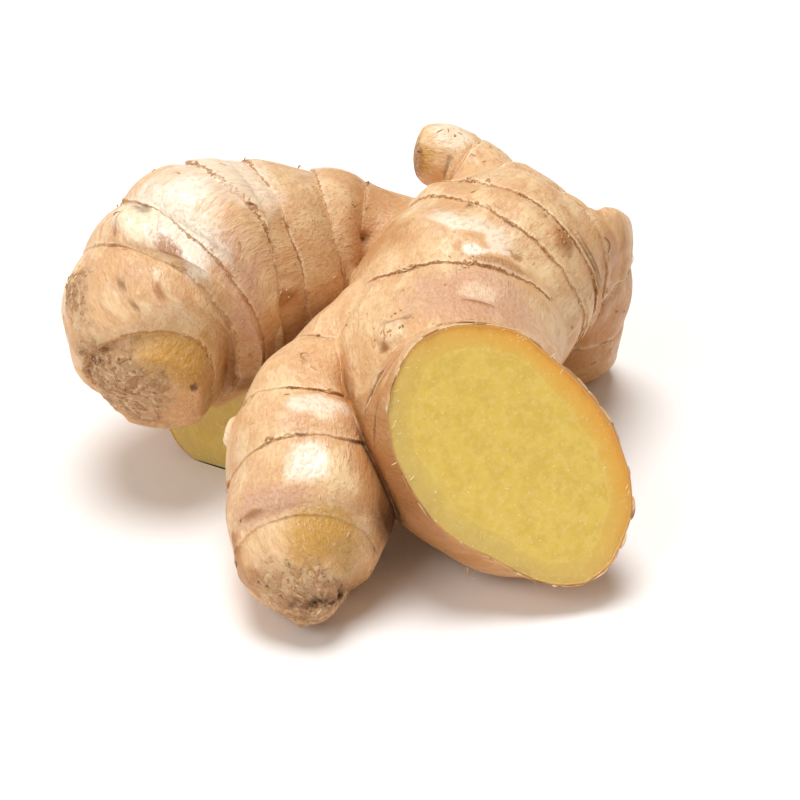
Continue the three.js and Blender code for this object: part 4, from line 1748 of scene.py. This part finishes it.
@dataclass
class FaceFibres:
    """Ends of fibres that stand out of a cut face, and hairs at its rim.

    Attributes:
        lobe: the lobe that was cut.
        count: fibres all over the face.
        fringe: hairs at its rim.
        half: least and greatest half width of a fibre, in mm.
        thick: its least and greatest half thickness.
        finish: their finish.
        seed: picks the random draws.
    """

    lobe: Lobe
    count: int
    fringe: int = 26
    half: Pair = (0.04, 0.08)
    thick: Pair = (0.03, 0.06)
    finish: CutFibres = CutFibres()
    seed: int = 8

    def build(self) -> bpy.types.Object:
        """Makes the fibres as one object.

        A fibre starts at a random place of the face, runs in a random direction that leans
        out of it and droops as a quarter sine.
        """
        rng = np.random.default_rng(self.seed)
        lobe, normal = self.lobe, self.lobe.cut.normal
        angles = lobe.columns()
        end = lobe.cut_end(angles, kin_of(lobe))
        rim, _ = lobe.skin(end[None, :], angles[None, :], kin_of(lobe))
        rim = rim[0] - lobe.cut.height(rim[0])[:, None] * normal
        middle = rim.mean(0)
        total = self.count + self.fringe
        which = rng.integers(0, len(rim), total)
        inwards = np.sqrt(rng.uniform(0, 0.9, total))
        inwards[self.count :] = rng.uniform(0.965, 0.99, self.fringe)
        start = middle + (rim[which] - middle) * inwards[:, None]
        random = rng.normal(size=(total, 3))
        flat = unit(random - (random @ normal)[:, None] * normal)
        short, long = rng.uniform(0.2, 0.7, total), rng.uniform(0.4, 1.6, total)
        length = np.where(np.arange(total) < self.count, short, long)[:, None, None]
        share = np.linspace(0, 1, STROKE_POINTS)[None, :, None]
        rise = rng.uniform(0.1, 0.45, total)[:, None, None]
        path = start[:, None] + length * (flat[:, None] * share + normal * rise * np.sin(share * 2.4))
        upper = np.broadcast_to(normal, path.shape)
        half = half_sizes(rng, total, self.half, self.thick)
        clear = path[..., 2].min(axis=1) > 0.2
        mesh = strand_mesh(f"ginger_cut_fibres_{lobe.name}", path[clear], upper[clear], half[clear])
        mesh.materials.append(self.finish.material())
        return linked(mesh)


@dataclass(frozen=True)
class Studio:
    """A pale table, soft light from above and the photograph's camera.

    Attributes:
        eye: where the camera stands, in the lobes' own mm.
        pitch: how far it is tipped up from looking straight down, in degrees.
        lens: focal length in mm, on a sensor 36 mm wide.
        table_half: half the table's width, in metres.
        table_colour: its colour.
        room: colour of the light that comes from all sides, warm as in a bright room.
        room_light: its strength.
    """

    eye: tuple[float, float, float] = (10.7, -418.92, 279.27)
    pitch: float = 58.0
    lens: float = 110.0
    table_half: float = 2.5
    table_colour: str = "F6F6F6"
    room: str = "FFEEDD"
    room_light: float = 0.33

    def build(self) -> None:
        """Makes the table, the lights and the camera."""
        scene = bpy.context.scene
        camera = bpy.data.cameras.new("camera")
        camera.lens = self.lens
        camera.sensor_width = 36
        camera.clip_start, camera.clip_end = 0.02, 10
        stand = linked(camera)
        stand.location = (np.array(self.eye) + ORIGIN) * MM
        stand.rotation_euler = (math.radians(self.pitch), 0, 0)
        scene.camera = stand
        self.table()
        self.lamp("overhead", (10, -155), 2.6, 34)
        self.lamp("front_left", (50, -48), 0.95, 36)
        world = bpy.data.worlds.new("bright_room")
        world.use_nodes = True
        tree = world.node_tree
        feed(tree, tree.nodes["Background"], {"Color": linear(self.room), "Strength": self.room_light})
        scene.world = world
        scene.view_settings.view_transform = "Standard"

    def table(self) -> None:
        """The table, a flat pale sheet."""
        reach = self.table_half / MM
        corners = np.array([(-reach, -reach, 0), (reach, -reach, 0), (reach, reach, 0), (-reach, reach, 0)])
        mesh = make_mesh("pale_table", corners, [np.array([[0, 1, 2, 3]])], {})
        material, tree, shader = new_material("matte_white_paper")
        look = {"Base Color": linear(self.table_colour), "Roughness": 0.9, "Specular IOR Level": 0.2}
        feed(tree, shader, look)
        mesh.materials.append(material)
        linked(mesh)

    @staticmethod
    def lamp(name: str, aim: Pair, strength: float, spread: float) -> None:
        """A broad soft lamp far away.

        Args:
            name: its name.
            aim: its tilt from straight above and its bearing from -Y, in degrees.
            strength: light on a surface square to it, in watts per square metre.
            spread: how wide it looks from the object, in degrees.
        """
        light = bpy.data.lights.new(name, "SUN")
        light.energy = strength
        light.angle = math.radians(spread)
        linked(light).rotation_euler = (math.radians(aim[0]), 0, math.radians(aim[1]))


def place_piece(piece: bpy.types.Object) -> None:
    """Makes a piece ride with the rhizome's body and stand for its solid, whose own mesh is hidden."""
    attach(piece, BODY)
    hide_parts(NODE)
    log.info("piece %s: %d faces", piece.name, len(piece.data.polygons))


def main() -> None:
    """Builds the rhizome and what stands on it, then the table, the lights and the camera."""
    logging.basicConfig(level=logging.INFO, format="%(name)s: %(message)s")
    Studio().build()
    place_piece(Rhizome().build())
    for piece in Shreds().build():
        place_piece(piece)
    for lobe, count in ((CUT_FINGER, 45), (UNDER_STUB, 15)):
        place_piece(FaceFibres(lobe, count).build())


if __name__ == "__main__":
    main()
